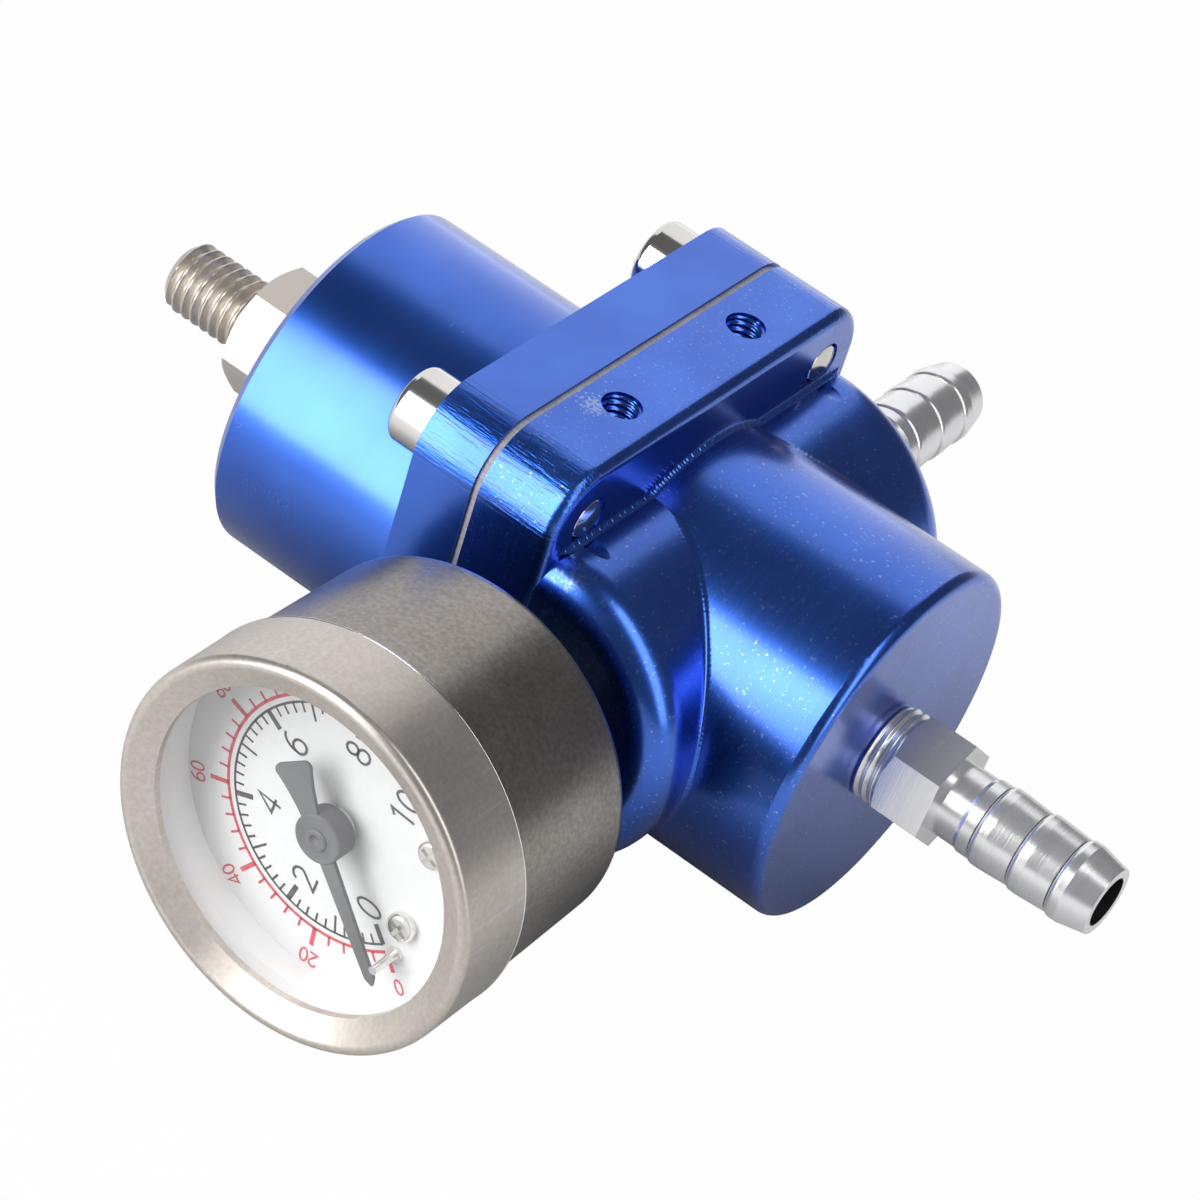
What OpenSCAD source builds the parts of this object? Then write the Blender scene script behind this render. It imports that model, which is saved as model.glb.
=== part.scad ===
// Adjustable fuel pressure regulator with a pressure gauge.
// Millimetres. +X runs along the main axis to the return barb, -Y is the way the dial faces,
// +Z leaves the face with the two tapped bracket holes. The origin is midway between those holes.
// Inside the modules the main axis is X, and x = 0 is the middle of the diaphragm.

/* [Flanges] */
// Width of the square flanges
flange_w = 53; // [50:0.5:60]
// Corner radius of the flanges
flange_corner_r = 6.5; // [4:0.5:8]
// Thickness of the spring housing's flange
housing_flange_t = 7.1; // [6:0.1:10]
// Thickness of the lower body's flange
body_flange_t = 9; // [8:0.1:12]
// Rounding of the lower flange's front edge
flange_edge_r = 1.2; // [0.6:0.1:2]
// Distance between neighbouring flange screws
bolt_pitch = 40.6; // [39:0.1:42]
// Thickness of the diaphragm
diaphragm_t = 0.8; // [0.5:0.1:1.5]
// How far the diaphragm's edge lies inside the flanges' edges
diaphragm_inset = 0.35; // [0:0.05:0.8]

/* [Spring housing] */
// Diameter of the housing's barrel
housing_d = 39.6; // [37:0.2:42]
// Length of the housing from the diaphragm to its end face
housing_len = 32.7; // [30:0.1:40]
// Chamfer of the housing's end
housing_chamfer = 0.9; // [0.3:0.1:2]
// Bore for the main spring
spring_bore_d = 29; // [26:0.5:31]
// Thickness of the housing's end wall
housing_end_t = 5.6; // [4:0.1:8]
// Diameter of the raised seat under the lock nut
nut_seat_d = 17; // [16:0.5:20]
// Height of the raised seat under the lock nut
nut_seat_h = 3.4; // [1:0.1:5]
// Diameter of the vent hole
vent_d = 2; // [1:0.5:3]

/* [Lower body] */
// Diameter of the body's barrel
body_d = 40.4; // [38:0.2:42]
// Length of the body from the diaphragm to its end face
body_len = 37.7; // [36:0.1:45]
// Rounding of the body's end
body_edge_r = 1.2; // [0.6:0.1:3]
// Distance of the cross ports' axis from the middle of the diaphragm
cross_x = 10.1; // [9.5:0.1:12]
// Diameter of the cross bosses
boss_d = 36; // [32:0.5:38]
// Reach of the cross bosses from the main axis
boss_reach = 26.2; // [25:0.1:30]
// Rounding of the cross bosses' ends
boss_edge_r = 4; // [1:0.1:5]
// Diameter of the fuel chamber under the diaphragm
chamber_d = 31; // [29:0.5:32]
// Depth of the fuel chamber
chamber_depth = 3; // [2:0.1:5]
// Diameter of the well round the valve seat
well_d = 24; // [22:0.5:26]
// Depth of the well
well_depth = 17.6; // [16:0.1:19]
// Depth of each threaded port
port_depth = 11; // [9:0.5:12]
// Diameter of the passage behind each threaded port
passage_d = 5; // [4:0.2:6]

/* [Bracket holes] */
// Distance between the two tapped bracket holes
bracket_spacing = 21.3; // [18:0.1:24]
// Tap drill diameter of the bracket holes
bracket_tap_d = 4.2; // [3.3:0.1:5]
// Depth of the bracket holes
bracket_depth = 10; // [7:0.5:11]
// Distance of the bracket holes from the middle of the diaphragm
bracket_x = 4.4; // [4:0.1:5.5]

/* [Flange screws] */
// Thread diameter of the flange screws
bolt_d = 5; // [4:0.5:5.5]
// Head diameter of the flange screws
bolt_head_d = 8.4; // [7:0.1:9]
// Head height of the flange screws
bolt_head_h = 5; // [4:0.1:6]
// Width across the socket of the flange screws
bolt_socket_af = 4; // [3:0.5:5]
// Rounding of the screw heads' rims
bolt_head_r = 0.8; // [0.3:0.1:1.2]

/* [Adjuster] */
// Thread diameter of the adjusting screw
adjuster_d = 8; // [6:0.5:10]
// Length of the adjusting screw
adjuster_len = 30; // [28:0.5:34]
// Length of the adjusting screw outside the lock nut
adjuster_out = 11; // [6:0.5:14]
// Width across the lock nut's flats
nut_af = 13; // [12.5:0.1:14]
// Thickness of the lock nut
nut_h = 6.5; // [5:0.1:8]
// Width across the adjusting screw's socket
adjuster_socket_af = 4; // [3:0.5:5]
// Turn of the lock nut
nut_turn = 2; // [0:1:60]

/* [Hose barbs] */
// Diameter over the barb rings
barb_d = 8.8; // [7:0.1:10]
// Diameter of the bore through the barbs
barb_bore_d = 5.4; // [4:0.1:6]
// Number of rings on a barb
barb_rings = 3; // [2:1:4]
// Length of one barb ring
barb_pitch = 4.65; // [3.5:0.05:6]
// Drop in radius along one barb ring
barb_drop = 0.2; // [0.1:0.05:0.5]
// Rounding of each ring's shoulder
barb_shoulder_r = 0.7; // [0.4:0.1:1]
// Length of the tapered nose on the last ring
barb_nose_len = 2.2; // [1:0.1:2.3]
// Length of the low collar before the first ring
barb_collar_len = 1.7; // [0.8:0.1:2]
// Length of the return barb's neck between the hexagon and the rings
return_neck_len = 4.7; // [2.5:0.1:8]
// Length of the inlet barb's neck between the hexagon and the rings
inlet_neck_len = 6.5; // [2.5:0.1:8]
// Diameter of the plain necks
barb_neck_d = 8; // [6.6:0.1:8.6]
// Width across the barb's hexagon
barb_hex_af = 10.7; // [10.5:0.1:13]
// Length of the barb's hexagon
barb_hex_len = 5.9; // [5:0.1:9]
// Turn of the return barb's hexagon
return_hex_turn = 18.5; // [0:0.5:60]
// Diameter of the fittings' pipe thread
pipe_d = 10; // [9.6:0.1:10.4]
// Length of pipe thread that stays outside the body
pipe_show = 2.6; // [1:0.1:4]
// Length of pipe thread inside the body
pipe_grip = 8; // [6:0.5:8.5]

/* [Valve and diaphragm] */
// Diameter of the cup on top of the diaphragm
cup_d = 25; // [23:0.5:26]
// Sheet thickness of the cup
cup_t = 1.2; // [0.8:0.1:2]
// Height of the cup's rim above its floor
cup_rim_h = 2; // [1:0.1:4]
// Diameter of the plate under the diaphragm
holder_d = 22; // [18:0.5:23]
// Thickness of the plate under the diaphragm
holder_t = 1.5; // [1:0.1:2]
// Diameter of the stem through the diaphragm
stem_d = 5; // [4:0.2:6]
// Width across the stem nut's flats
stem_nut_af = 8; // [7.5:0.1:9]
// Thickness of the stem nut
stem_nut_h = 3.4; // [2.5:0.1:5]
// Diameter of the sealing pad
pad_d = 10; // [9:0.2:11]
// Thickness of the sealing pad
pad_t = 2.4; // [1.5:0.1:3]
// How far the pad stands out of its holder
pad_show = 0.4; // [0.2:0.1:0.8]
// Wall of the holder's rim round the pad
pad_wall = 1.1; // [0.8:0.1:2]
// Bore of the valve seat
seat_bore_d = 4.4; // [3.6:0.1:5]
// Outer diameter of the valve seat's nozzle
seat_d = 8.4; // [7.6:0.1:9]
// Width of the flat rim that the pad closes on
seat_rim = 0.9; // [0.5:0.1:1.2]
// Diameter of the seat's foot
seat_foot_d = 13; // [11:0.5:16]
// Thickness of the seat's foot
seat_foot_t = 1.5; // [1:0.1:3]
// Length of the seat's shank in the body
seat_shank_len = 4.5; // [3:0.1:5]

/* [Main spring] */
// Wire diameter of the main spring
spring_wire_d = 2.2; // [1.6:0.1:2.4]
// Mean coil diameter of the main spring
spring_mean_d = 17.2; // [16:0.2:18]
// Number of turns, with one closed turn at each end
spring_turns = 5; // [4:1:6]
// Thickness of the spring cap's plate
cap_t = 3; // [2:0.1:4]
// Diameter of the spring cap
cap_d = 23; // [21:0.5:25]
// Length of the spring cap's spigot
cap_spigot_h = 2.5; // [1:0.1:4]

/* [Gauge case] */
// Diameter of the gauge's bezel
bezel_d = 41; // [40:0.2:46]
// Length of the gauge from the bezel's front to the back of its case
gauge_len = 26.6; // [26:0.1:28]
// Turn of the gauge on its thread, clockwise seen from the front
gauge_turn = 5; // [0:1:360]
// Length of the bezel's skirt
bezel_len = 9.2; // [8:0.1:14]
// Sheet thickness of the bezel
bezel_t = 0.45; // [0.3:0.05:0.8]
// Rounding of the bezel's front edge
bezel_edge_r = 0.8; // [0.4:0.1:1.2]
// Diameter of the opening in the bezel
window_d = 34; // [30:0.2:35]
// Depth of the lip's inner edge behind the bezel's front
lip_depth = 1.3; // [0.9:0.1:1.6]
// Thickness of the lip at its inner edge
lip_t = 0.8; // [0.4:0.1:1.2]
// Thickness of the lens
lens_t = 1.5; // [1:0.1:2]
// Thickness of the gasket under the lens
gasket_t = 0.8; // [0.5:0.1:1.2]
// Wall of the gasket's sleeve, which reaches down to the dial
gasket_wall = 0.6; // [0.4:0.1:1]
// Wall of the case
case_t = 0.8; // [0.5:0.1:1.2]
// How much narrower the case's back is than its front, on the diameter
case_taper = 1; // [0:0.1:2]
// Rounding of the case's back edge
case_edge_r = 1.2; // [0.6:0.1:2]
// Width across the socket's hexagon
socket_hex_af = 12; // [11:0.1:14]
// Length of the socket's hexagon behind the case
socket_hex_len = 4.6; // [3:0.1:8]

/* [Gauge dial] */
// Depth of the dial behind the bezel's front
dial_depth = 8.5; // [8:0.1:9.5]
// Thickness of the dial
dial_t = 0.5; // [0.3:0.1:0.8]
// Distance of the dial screws from the gauge's axis
dial_screw_r = 11.2; // [10:0.1:12]
// Angle of each dial screw from the bottom of the dial
dial_screw_angle = 26.8; // [22:0.1:32]
// Head diameter of the dial screws
dial_screw_head_d = 3.1; // [2.4:0.1:3.4]
// Dial angle of the zero mark, clockwise from the top
zero_angle = 225; // [220:1:230]
// Length of the pointer from its axis to its tip
pointer_len = 15.3; // [14.5:0.1:16]
// Length of the pointer's tail
tail_len = 7.8; // [5:0.1:9]
// Diameter of the pointer's hub
hub_d = 5.3; // [4:0.1:6]
// Thickness of the pointer's hub
hub_t = 2.4; // [1.2:0.1:2.6]
// Height of the pointer's blade above the dial
pointer_lift = 2.9; // [2.6:0.1:3.2]
// Diameter of the stop pin
stop_pin_d = 0.9; // [0.6:0.1:1.2]
// Distance of the stop pin from the gauge's axis
stop_pin_r = 13.6; // [13:0.1:14]

/* [Gauge movement] */
// Module of the gear teeth
gear_module = 0.25; // [0.22:0.01:0.27]
// Teeth on the pinion
pinion_teeth = 10; // [8:1:12]
// Teeth of the full circle that the sector is part of
sector_circle_teeth = 60; // [54:1:64]
// Thickness of the movement's plates
plate_t = 1; // [0.8:0.1:1.2]
// Gap between the movement's plates
plate_gap = 4.5; // [4.4:0.1:5]
// Distance of the link's pin from the sector's axis
tail_pin_r = 4; // [3.5:0.1:4.5]
// Mean radius of the tube's curve
tube_r = 13.5; // [13:0.1:14.5]
// Thickness of the flattened tube
tube_t = 2.4; // [2:0.1:2.8]
// Width of the flattened tube
tube_w = 6; // [5:0.1:6.4]
// Wall of the tube
tube_wall = 0.4; // [0.3:0.05:0.6]
// Reach of the movement's plates above the pointer's axis
plate_head = 6; // [5.5:0.1:7]
// Half width of the movement's plates
plate_half_w = 8.2; // [7.8:0.1:8.8]
// Reach of the front plate below the sector's axis
front_plate_foot = 5; // [4.5:0.1:5.5]
// Reach of the back plate's leg below the sector's axis
back_plate_foot = 4.2; // [4:0.1:4.5]
// Half width of the back plate on the tube tip's side
back_plate_half_w = 6.5; // [5.8:0.1:7]
// Overlap of the back plate's leg past the arbors' line
back_plate_step = 1; // [0.8:0.1:1.5]
// Radius of the movement's pillars
pillar_r = 1; // [0.8:0.1:1.2]

/* [Hidden] */
$fn = 64;

// Clearances
slip = 0.05;
loose = 0.25;
gap = 0.3;
cut = 0.5;
far = 100;

// Places along the main axis
housing_face_x = -diaphragm_t / 2;
body_face_x = diaphragm_t / 2;
housing_back_x = housing_face_x - housing_flange_t;
housing_end_x = housing_face_x - housing_len;
spring_floor_x = housing_end_x + housing_end_t;
nut_seat_x = housing_end_x - nut_seat_h;
nut_end_x = nut_seat_x - nut_h;
adjuster_end_x = nut_end_x - adjuster_out;
adjuster_tip_x = adjuster_end_x + adjuster_len;
cap_face_x = adjuster_tip_x + cap_t;
cup_floor_x = housing_face_x - cup_t;
body_front_x = body_face_x + body_flange_t;
body_end_x = body_face_x + body_len;
well_floor_x = body_face_x + well_depth;
holder_back_x = body_face_x + holder_t;
pad_face_x = holder_back_x + pad_t;
seat_shank_x = well_floor_x + seat_shank_len;
hex_corner = 1 / cos(30);
bolt_places = [for (y = [-1, 1], z = [-1, 1]) [y, z] * bolt_pitch / 2];
stem_end_x = cup_floor_x - stem_nut_h - 1;

// Places in the gauge, as depths behind the bezel's front
lens_depth = lip_depth + lip_t;
gasket_depth = lens_depth + lens_t;
case_depth = gasket_depth + gasket_t;
dial_back = dial_depth + dial_t;
post_h = 0.8;
front_plate_depth = dial_back + post_h;
gear_lift = 1.8;
gear_depth = front_plate_depth + plate_t + gear_lift;
gear_t = 0.8;
link_depth = gear_depth - gear_lift / 2;
link_t = 0.6;
link_pin_depth = link_depth - 0.2;
back_plate_depth = front_plate_depth + plate_t + plate_gap;
block_depth = back_plate_depth + plate_t;
case_floor_depth = gauge_len - case_t;
tube_depth = gear_depth - 0.1;
pointer_t = 0.4;
pointer_depth = dial_depth - pointer_lift - pointer_t;
hub_front = pointer_depth - 0.2;
hub_back = hub_front + hub_t;
stop_pin_front = pointer_depth - 0.2;
collar_back = dial_depth - gap;
socket_neck_d = socket_hex_af * hex_corner + 0.2;
tube_mid_depth = tube_depth + tube_w / 2;

// The cross fittings stand off from whichever reaches further, the bosses or the flanges
side_y = max(boss_reach, flange_w / 2);
gauge_reach = side_y + pipe_show + socket_hex_len + gauge_len;

// Gauge radii
bezel_r = bezel_d / 2;
bezel_bore_r = bezel_r - bezel_t;
window_r = window_d / 2;
case_r = bezel_bore_r - slip;
case_back_r = case_r - case_taper / 2;
lens_r = bezel_bore_r - 3 * slip;
case_bore_r = case_r - case_t;
case_slope = case_taper / 2 / (case_floor_depth - case_depth);
dial_r = case_bore_r - case_slope * (dial_back - case_depth) - gap;

// Gear train
pinion_r = gear_module * pinion_teeth / 2;
sector_r = gear_module * sector_circle_teeth / 2;
gear_distance = pinion_r + sector_r;
pointer_sweep = 270;
sector_sweep = pointer_sweep * pinion_teeth / sector_circle_teeth;
tooth_up = 0.85 * gear_module;
tooth_down = 1.2 * gear_module;
arbor_r = 0.5;
sector_first = -2;
sector_last = ceil(sector_sweep * sector_circle_teeth / 360) + 2;
tail_angle = 180 + sector_sweep / 2;
tube_tip_angle = 20;
tube_sweep = 250;
plug_angle = 10.6;
link_pin_angle = tube_tip_angle - plug_angle / 2;
link_pin_r = 0.4;
link_eye_r = 1.25;
tail_pin = [gear_distance - tail_pin_r * cos(tail_angle), tail_pin_r * sin(tail_angle)];
tip_pin = tube_r * [cos(link_pin_angle), sin(link_pin_angle)];
pillar_in = pillar_r + 0.7;
pillar_places = [[pillar_in - plate_head, pillar_in - back_plate_half_w],
    [pillar_in - plate_head, back_plate_half_w - pillar_in],
    [gear_distance + back_plate_foot - pillar_in, pillar_in - plate_half_w]];
dial_screw_places = [for (s = [-1, 1]) dial_screw_r * [cos(dial_screw_angle), s * sin(dial_screw_angle)]];

BLUE = [0.10, 0.25, 0.72];
STEEL = [0.72, 0.69, 0.65];
BRIGHT = [0.82, 0.82, 0.83];
BRASS = [0.78, 0.64, 0.35];
RUBBER = [0.16, 0.16, 0.17];
PALE = [0.74, 0.72, 0.77];

// Frames

// Moves the main axis to its place below the bracket holes
module on_axis() {
    translate([-bracket_x, 0, -flange_w / 2])
        children();
}

// Stands children that are drawn along Z on the main axis, from x on towards +X
module along_x(x = 0) {
    on_axis()
        translate([x, 0, 0])
            rotate([0, 90, 0])
                children();
}

// Stands children that are drawn along Z on a cross port's axis, leaving through side -1 or 1
module along_y(side, y = 0) {
    on_axis()
        translate([cross_x, side * y, 0])
            rotate([-90 * side, 0, 0])
                children();
}

// Draws children on the gauge's axis, with Z running from the bezel's front to the back
module in_gauge(depth = 0) {
    on_axis()
        translate([cross_x, -gauge_reach + depth, 0])
            rotate([0, gauge_turn, 0])
                rotate([-90, 0, 0])
                    children();
}

// Draws a flat shape given in the dial's plane, u down the dial and v to its right
module dial_plate(depth, t) {
    on_axis()
        translate([cross_x, -gauge_reach + depth + t, 0])
            rotate([0, gauge_turn, 0])
                rotate([90, 0, 0])
                    linear_extrude(t)
                        children();
}

// Shapes

// Square with rounded corners, centred
module rounded_square(w, r) {
    square([w, w - 2 * r], center = true);
    square([w - 2 * r, w], center = true);
    for (y = [-1, 1], z = [-1, 1])
        translate([y, z] * (w / 2 - r))
            circle(r);
}

// Half section of a round bar of radius r and length h, its far end rounded by e
module rounded_end(r, h, e) {
    square([r - e, h]);
    square([r, h - e]);
    translate([r - e, h - e])
        circle(e);
}

// Hexagonal bar with its ends' corners turned off at 30 degrees; the far end may stay square
module turned_hex(af, h, square_end = false) {
    corner = af * hex_corner / 2;
    drop = (corner - af / 2) * tan(30);
    far_end = square_end ? [[corner, h]] : [[corner, h - drop], [af / 2, h]];
    intersection() {
        rotate([0, 0, 30])
            cylinder(r = corner, h = h, $fn = 6);
        rotate_extrude()
            polygon(concat([[0, 0], [af / 2, 0], [corner, drop]], far_end, [[0, h]]));
    }
}

// Hexagonal socket, drawn along Z
module hex_socket(af, h) {
    cylinder(r = af * hex_corner / 2, h = h, $fn = 6);
}

// Points on an arc in the dial's plane, angle counted from -u towards +v
function arc_points(r, a0, a1, n) = [for (i = [0:n]) let (a = a0 + (a1 - a0) * i / n) [-r * cos(a), r * sin(a)]];

// Outline of one gear tooth, root to root, centred on angle a
function tooth_points(r, teeth, a) =
    let (half = 90 / teeth)
    [for (p = [[-tooth_down, -1.25], [0, -0.8], [tooth_up, -0.4], [tooth_up, 0.4], [0, 0.8], [-tooth_down, 1.25]])
        (r + p[0]) * [-cos(a + half * p[1]), sin(a + half * p[1])]];

// Spring housing

module housing_solid() {
    along_x(housing_back_x)
        linear_extrude(housing_flange_t)
            rounded_square(flange_w, flange_corner_r);
    along_x(housing_end_x)
        rotate_extrude()
            polygon([[0, 0], [housing_d / 2 - housing_chamfer, 0], [housing_d / 2, housing_chamfer],
                [housing_d / 2, housing_len], [0, housing_len]]);
    along_x(nut_seat_x)
        cylinder(d = nut_seat_d, h = nut_seat_h + cut);
}

module housing_cuts() {
    along_x(spring_floor_x)
        cylinder(d = spring_bore_d, h = far);
    along_x(housing_face_x - chamber_depth)
        cylinder(d = chamber_d, h = far);
    along_x(nut_seat_x - cut)
        cylinder(r = adjuster_d / 2 + slip, h = far);
    for (p = bolt_places)
        along_x(housing_back_x - cut)
            translate([p[1], p[0], 0])
                cylinder(r = bolt_d / 2 + loose, h = far);
    on_axis()
        translate([(housing_back_x + housing_end_x) / 2, 0, -housing_d])
            cylinder(d = vent_d, h = housing_d);
}

module spring_housing() {
    color(BLUE)
        difference() {
            housing_solid();
            housing_cuts();
        }
}

// Lower body

// Flange with its front edge rounded: a core, four straight sides and four swept corners
module body_flange() {
    reach = flange_w / 2 - flange_corner_r;
    along_x(body_face_x) {
        translate([-reach, -reach, 0])
            cube([2 * reach, 2 * reach, body_flange_t]);
        for (a = [0:90:270])
            rotate([0, 0, a]) {
                translate([reach, reach, 0])
                    rotate([90, 0, 0])
                        linear_extrude(2 * reach)
                            rounded_end(flange_corner_r, body_flange_t, flange_edge_r);
                translate([reach, reach, 0])
                    rotate_extrude(angle = 90)
                        rounded_end(flange_corner_r, body_flange_t, flange_edge_r);
            }
    }
}

module body_solid() {
    body_flange();
    along_x(body_face_x)
        rotate_extrude()
            rounded_end(body_d / 2, body_len, body_edge_r);
    intersection() {
        for (side = [-1, 1])
            along_y(side)
                rotate_extrude()
                    rounded_end(boss_d / 2, boss_reach, boss_edge_r);
        along_x(body_face_x)
            translate([-far, -far, 0])
                cube(2 * far);
    }
}

module body_cuts() {
    along_x(body_face_x - cut)
        cylinder(d = chamber_d, h = chamber_depth + cut);
    along_x(body_face_x - cut)
        cylinder(d = well_d, h = well_depth + cut);
    along_x(well_floor_x - cut)
        cylinder(r = seat_d / 2 + slip, h = seat_shank_len + cut);
    along_x(well_floor_x)
        cylinder(d = passage_d, h = body_end_x - well_floor_x);
    along_x(body_end_x - port_depth)
        cylinder(r = pipe_d / 2 + slip, h = port_depth + cut);
    for (side = [-1, 1]) {
        along_y(side, side_y - port_depth)
            cylinder(r = pipe_d / 2 + slip, h = port_depth + cut);
        along_y(side)
            cylinder(d = passage_d, h = side_y);
    }
    for (p = bolt_places)
        along_x(body_face_x - cut)
            translate([p[1], p[0], 0])
                cylinder(r = bolt_d / 2, h = far);
    for (side = [-1, 1])
        translate([0, side * bracket_spacing / 2, -bracket_depth])
            cylinder(d = bracket_tap_d, h = bracket_depth + cut);
}

module lower_body() {
    color(BLUE)
        difference() {
            body_solid();
            body_cuts();
        }
}

// Diaphragm and valve

module diaphragm() {
    color(PALE)
        along_x(housing_face_x)
            linear_extrude(diaphragm_t)
                difference() {
                    rounded_square(flange_w - 2 * diaphragm_inset, flange_corner_r - diaphragm_inset);
                    circle(stem_d / 2 + slip);
                    for (p = bolt_places)
                        translate([p[1], p[0]])
                            circle(bolt_d / 2 + loose);
                }
}

module diaphragm_cup() {
    color(STEEL)
        along_x(housing_face_x)
            rotate([180, 0, 0])
                rotate_extrude()
                    difference() {
                        square([cup_d / 2, cup_t + cup_rim_h]);
                        square([stem_d / 2 + slip, cup_t]);
                        translate([0, cup_t])
                            square([cup_d / 2 - cup_t, cup_rim_h]);
                    }
}

module valve_holder() {
    rim_r = pad_d / 2 + slip + pad_wall;
    color(BRIGHT)
        difference() {
            union() {
                along_x(stem_end_x)
                    cylinder(d = stem_d, h = holder_back_x - stem_end_x);
                along_x(body_face_x)
                    cylinder(d = holder_d, h = holder_t);
                along_x(body_face_x)
                    cylinder(r = rim_r, h = pad_face_x - pad_show - body_face_x);
            }
            along_x(holder_back_x)
                cylinder(r = pad_d / 2 + slip, h = far);
        }
}

module stem_nut() {
    color(STEEL)
        along_x(cup_floor_x - stem_nut_h)
            difference() {
                turned_hex(stem_nut_af, stem_nut_h);
                translate([0, 0, -cut])
                    cylinder(r = stem_d / 2 + slip, h = stem_nut_h + 2 * cut);
            }
}

module valve_pad() {
    color(RUBBER)
        along_x(holder_back_x)
            cylinder(d = pad_d, h = pad_t);
}

module valve_seat() {
    rim_r = seat_bore_d / 2 + seat_rim;
    nose = 3;
    foot_x = well_floor_x - seat_foot_t - pad_face_x;
    shank_end = seat_shank_x - pad_face_x;
    color(BRASS)
        along_x(pad_face_x)
            rotate_extrude()
                polygon([[seat_bore_d / 2, 0], [rim_r, 0], [seat_d / 2, nose], [seat_d / 2, foot_x],
                    [seat_foot_d / 2, foot_x], [seat_foot_d / 2, foot_x + seat_foot_t],
                    [seat_d / 2, foot_x + seat_foot_t], [seat_d / 2, shank_end], [seat_bore_d / 2, shank_end]]);
}

// Main spring

spring_gap = cup_floor_x - cap_face_x;
spring_rise = spring_gap - spring_wire_d;
spring_closed = spring_wire_d * 1.02;
spring_open = (spring_rise - 2 * spring_closed) / (spring_turns - 2);

// Height of the wire's centre after t turns: a closed turn, open turns and a closed turn
function spring_height(t) = t < 1 ? spring_closed * t
    : t < spring_turns - 1 ? spring_closed + spring_open * (t - 1)
    : spring_rise - spring_closed * (spring_turns - t);

// Round wire swept along the coil, with a fan at each end
module main_spring() {
    steps = 20;
    sides = 8;
    rings = steps * spring_turns;
    points = [for (i = [0:rings], j = [0:sides - 1])
        let (t = i / steps, r = spring_mean_d / 2 + spring_wire_d / 2 * cos(360 * j / sides))
        [r * cos(360 * t), r * sin(360 * t), spring_height(t) + spring_wire_d / 2 * (1 + sin(360 * j / sides))]];
    walls = [for (i = [0:rings - 1], j = [0:sides - 1])
        let (a = i * sides + j, b = i * sides + (j + 1) % sides)
        [a, a + sides, b + sides, b]];
    start = [for (j = [0:sides - 1]) j];
    finish = [for (j = [0:sides - 1]) rings * sides + sides - 1 - j];
    color(STEEL)
        along_x(cap_face_x)
            polyhedron(points = points, faces = concat(walls, [start, finish]));
}

module spring_cap() {
    spigot_r = spring_mean_d / 2 - spring_wire_d / 2 - loose;
    color(STEEL)
        along_x(adjuster_tip_x) {
            cylinder(d = cap_d, h = cap_t);
            cylinder(r = spigot_r, h = cap_t + cap_spigot_h);
        }
}

// Screws

module cap_screw() {
    shank = body_front_x - housing_back_x - 0.1;
    shank_r = bolt_d / 2 - slip;
    tip = 0.35;
    difference() {
        union() {
            rotate([180, 0, 0])
                rotate_extrude()
                    rounded_end(bolt_head_d / 2, bolt_head_h, bolt_head_r);
            rotate_extrude()
                polygon([[0, -cut], [shank_r, -cut], [shank_r, shank - tip], [shank_r - tip, shank], [0, shank]]);
        }
        translate([0, 0, -bolt_head_h - cut])
            hex_socket(bolt_socket_af, bolt_head_h / 2 + cut);
    }
}

module cap_screws() {
    color(BRIGHT)
        for (p = bolt_places)
            along_x(housing_back_x)
                translate([p[1], p[0], 0])
                    cap_screw();
}

module adjusting_screw() {
    chamfer = 0.9;
    r = adjuster_d / 2;
    color(STEEL)
        along_x(adjuster_end_x)
            difference() {
                rotate_extrude()
                    polygon([[0, 0], [r - chamfer, 0], [r, chamfer], [r, adjuster_len - 2 * chamfer],
                        [r - 2 * chamfer, adjuster_len], [0, adjuster_len]]);
                translate([0, 0, -cut])
                    hex_socket(adjuster_socket_af, adjuster_d / 2 + cut);
            }
}

module lock_nut() {
    color(STEEL)
        along_x(nut_end_x)
            difference() {
                rotate([0, 0, nut_turn])
                    turned_hex(nut_af, nut_h);
                translate([0, 0, -cut])
                    cylinder(r = adjuster_d / 2 + slip, h = nut_h + 2 * cut);
            }
}

// Hose barbs

// Hose fitting with a neck of the given length and its hexagon turned by hex_turn; stands on a port's mouth
// at z = 0 and leaves along +Z. Each ring rises over a round shoulder and falls gently towards the nose.
module hose_barb(neck_len, hex_turn) {
    rings_start = pipe_show + barb_hex_len + neck_len;
    rings_end = rings_start + barb_rings * barb_pitch;
    neck_r = barb_neck_d / 2;
    top_r = barb_d / 2;
    low_r = top_r - barb_drop;
    bore_r = barb_bore_d / 2;
    shoulder = min(barb_shoulder_r, (top_r - bore_r) / 2);
    tip_r = low_r - 0.3 * (low_r - bore_r);
    root_z = pipe_show + barb_hex_len / 2;
    neck_points = [[0, root_z], [neck_r, root_z], [neck_r, rings_start - barb_collar_len],
        [low_r, rings_start - 0.75 * barb_collar_len], [low_r, rings_start]];
    ring_points = [for (i = [0:barb_rings - 1])
        let (z = rings_start + i * barb_pitch, last = i == barb_rings - 1)
        each [[top_r - shoulder, z], [top_r, z + shoulder], [top_r, z + barb_pitch / 3],
            [low_r, z + barb_pitch - (last ? barb_nose_len : 0)]]];
    difference() {
        union() {
            translate([0, 0, -pipe_grip])
                cylinder(d = pipe_d, h = pipe_grip + pipe_show + cut);
            translate([0, 0, pipe_show])
                rotate([0, 0, hex_turn])
                    turned_hex(barb_hex_af, barb_hex_len, true);
            rotate_extrude() {
                polygon(concat(neck_points, ring_points, [[tip_r, rings_end], [0, rings_end]]));
                for (i = [0:barb_rings - 1])
                    translate([top_r - shoulder, rings_start + i * barb_pitch + shoulder])
                        circle(shoulder);
            }
        }
        translate([0, 0, -pipe_grip - cut])
            cylinder(r = bore_r, h = far);
    }
}

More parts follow.
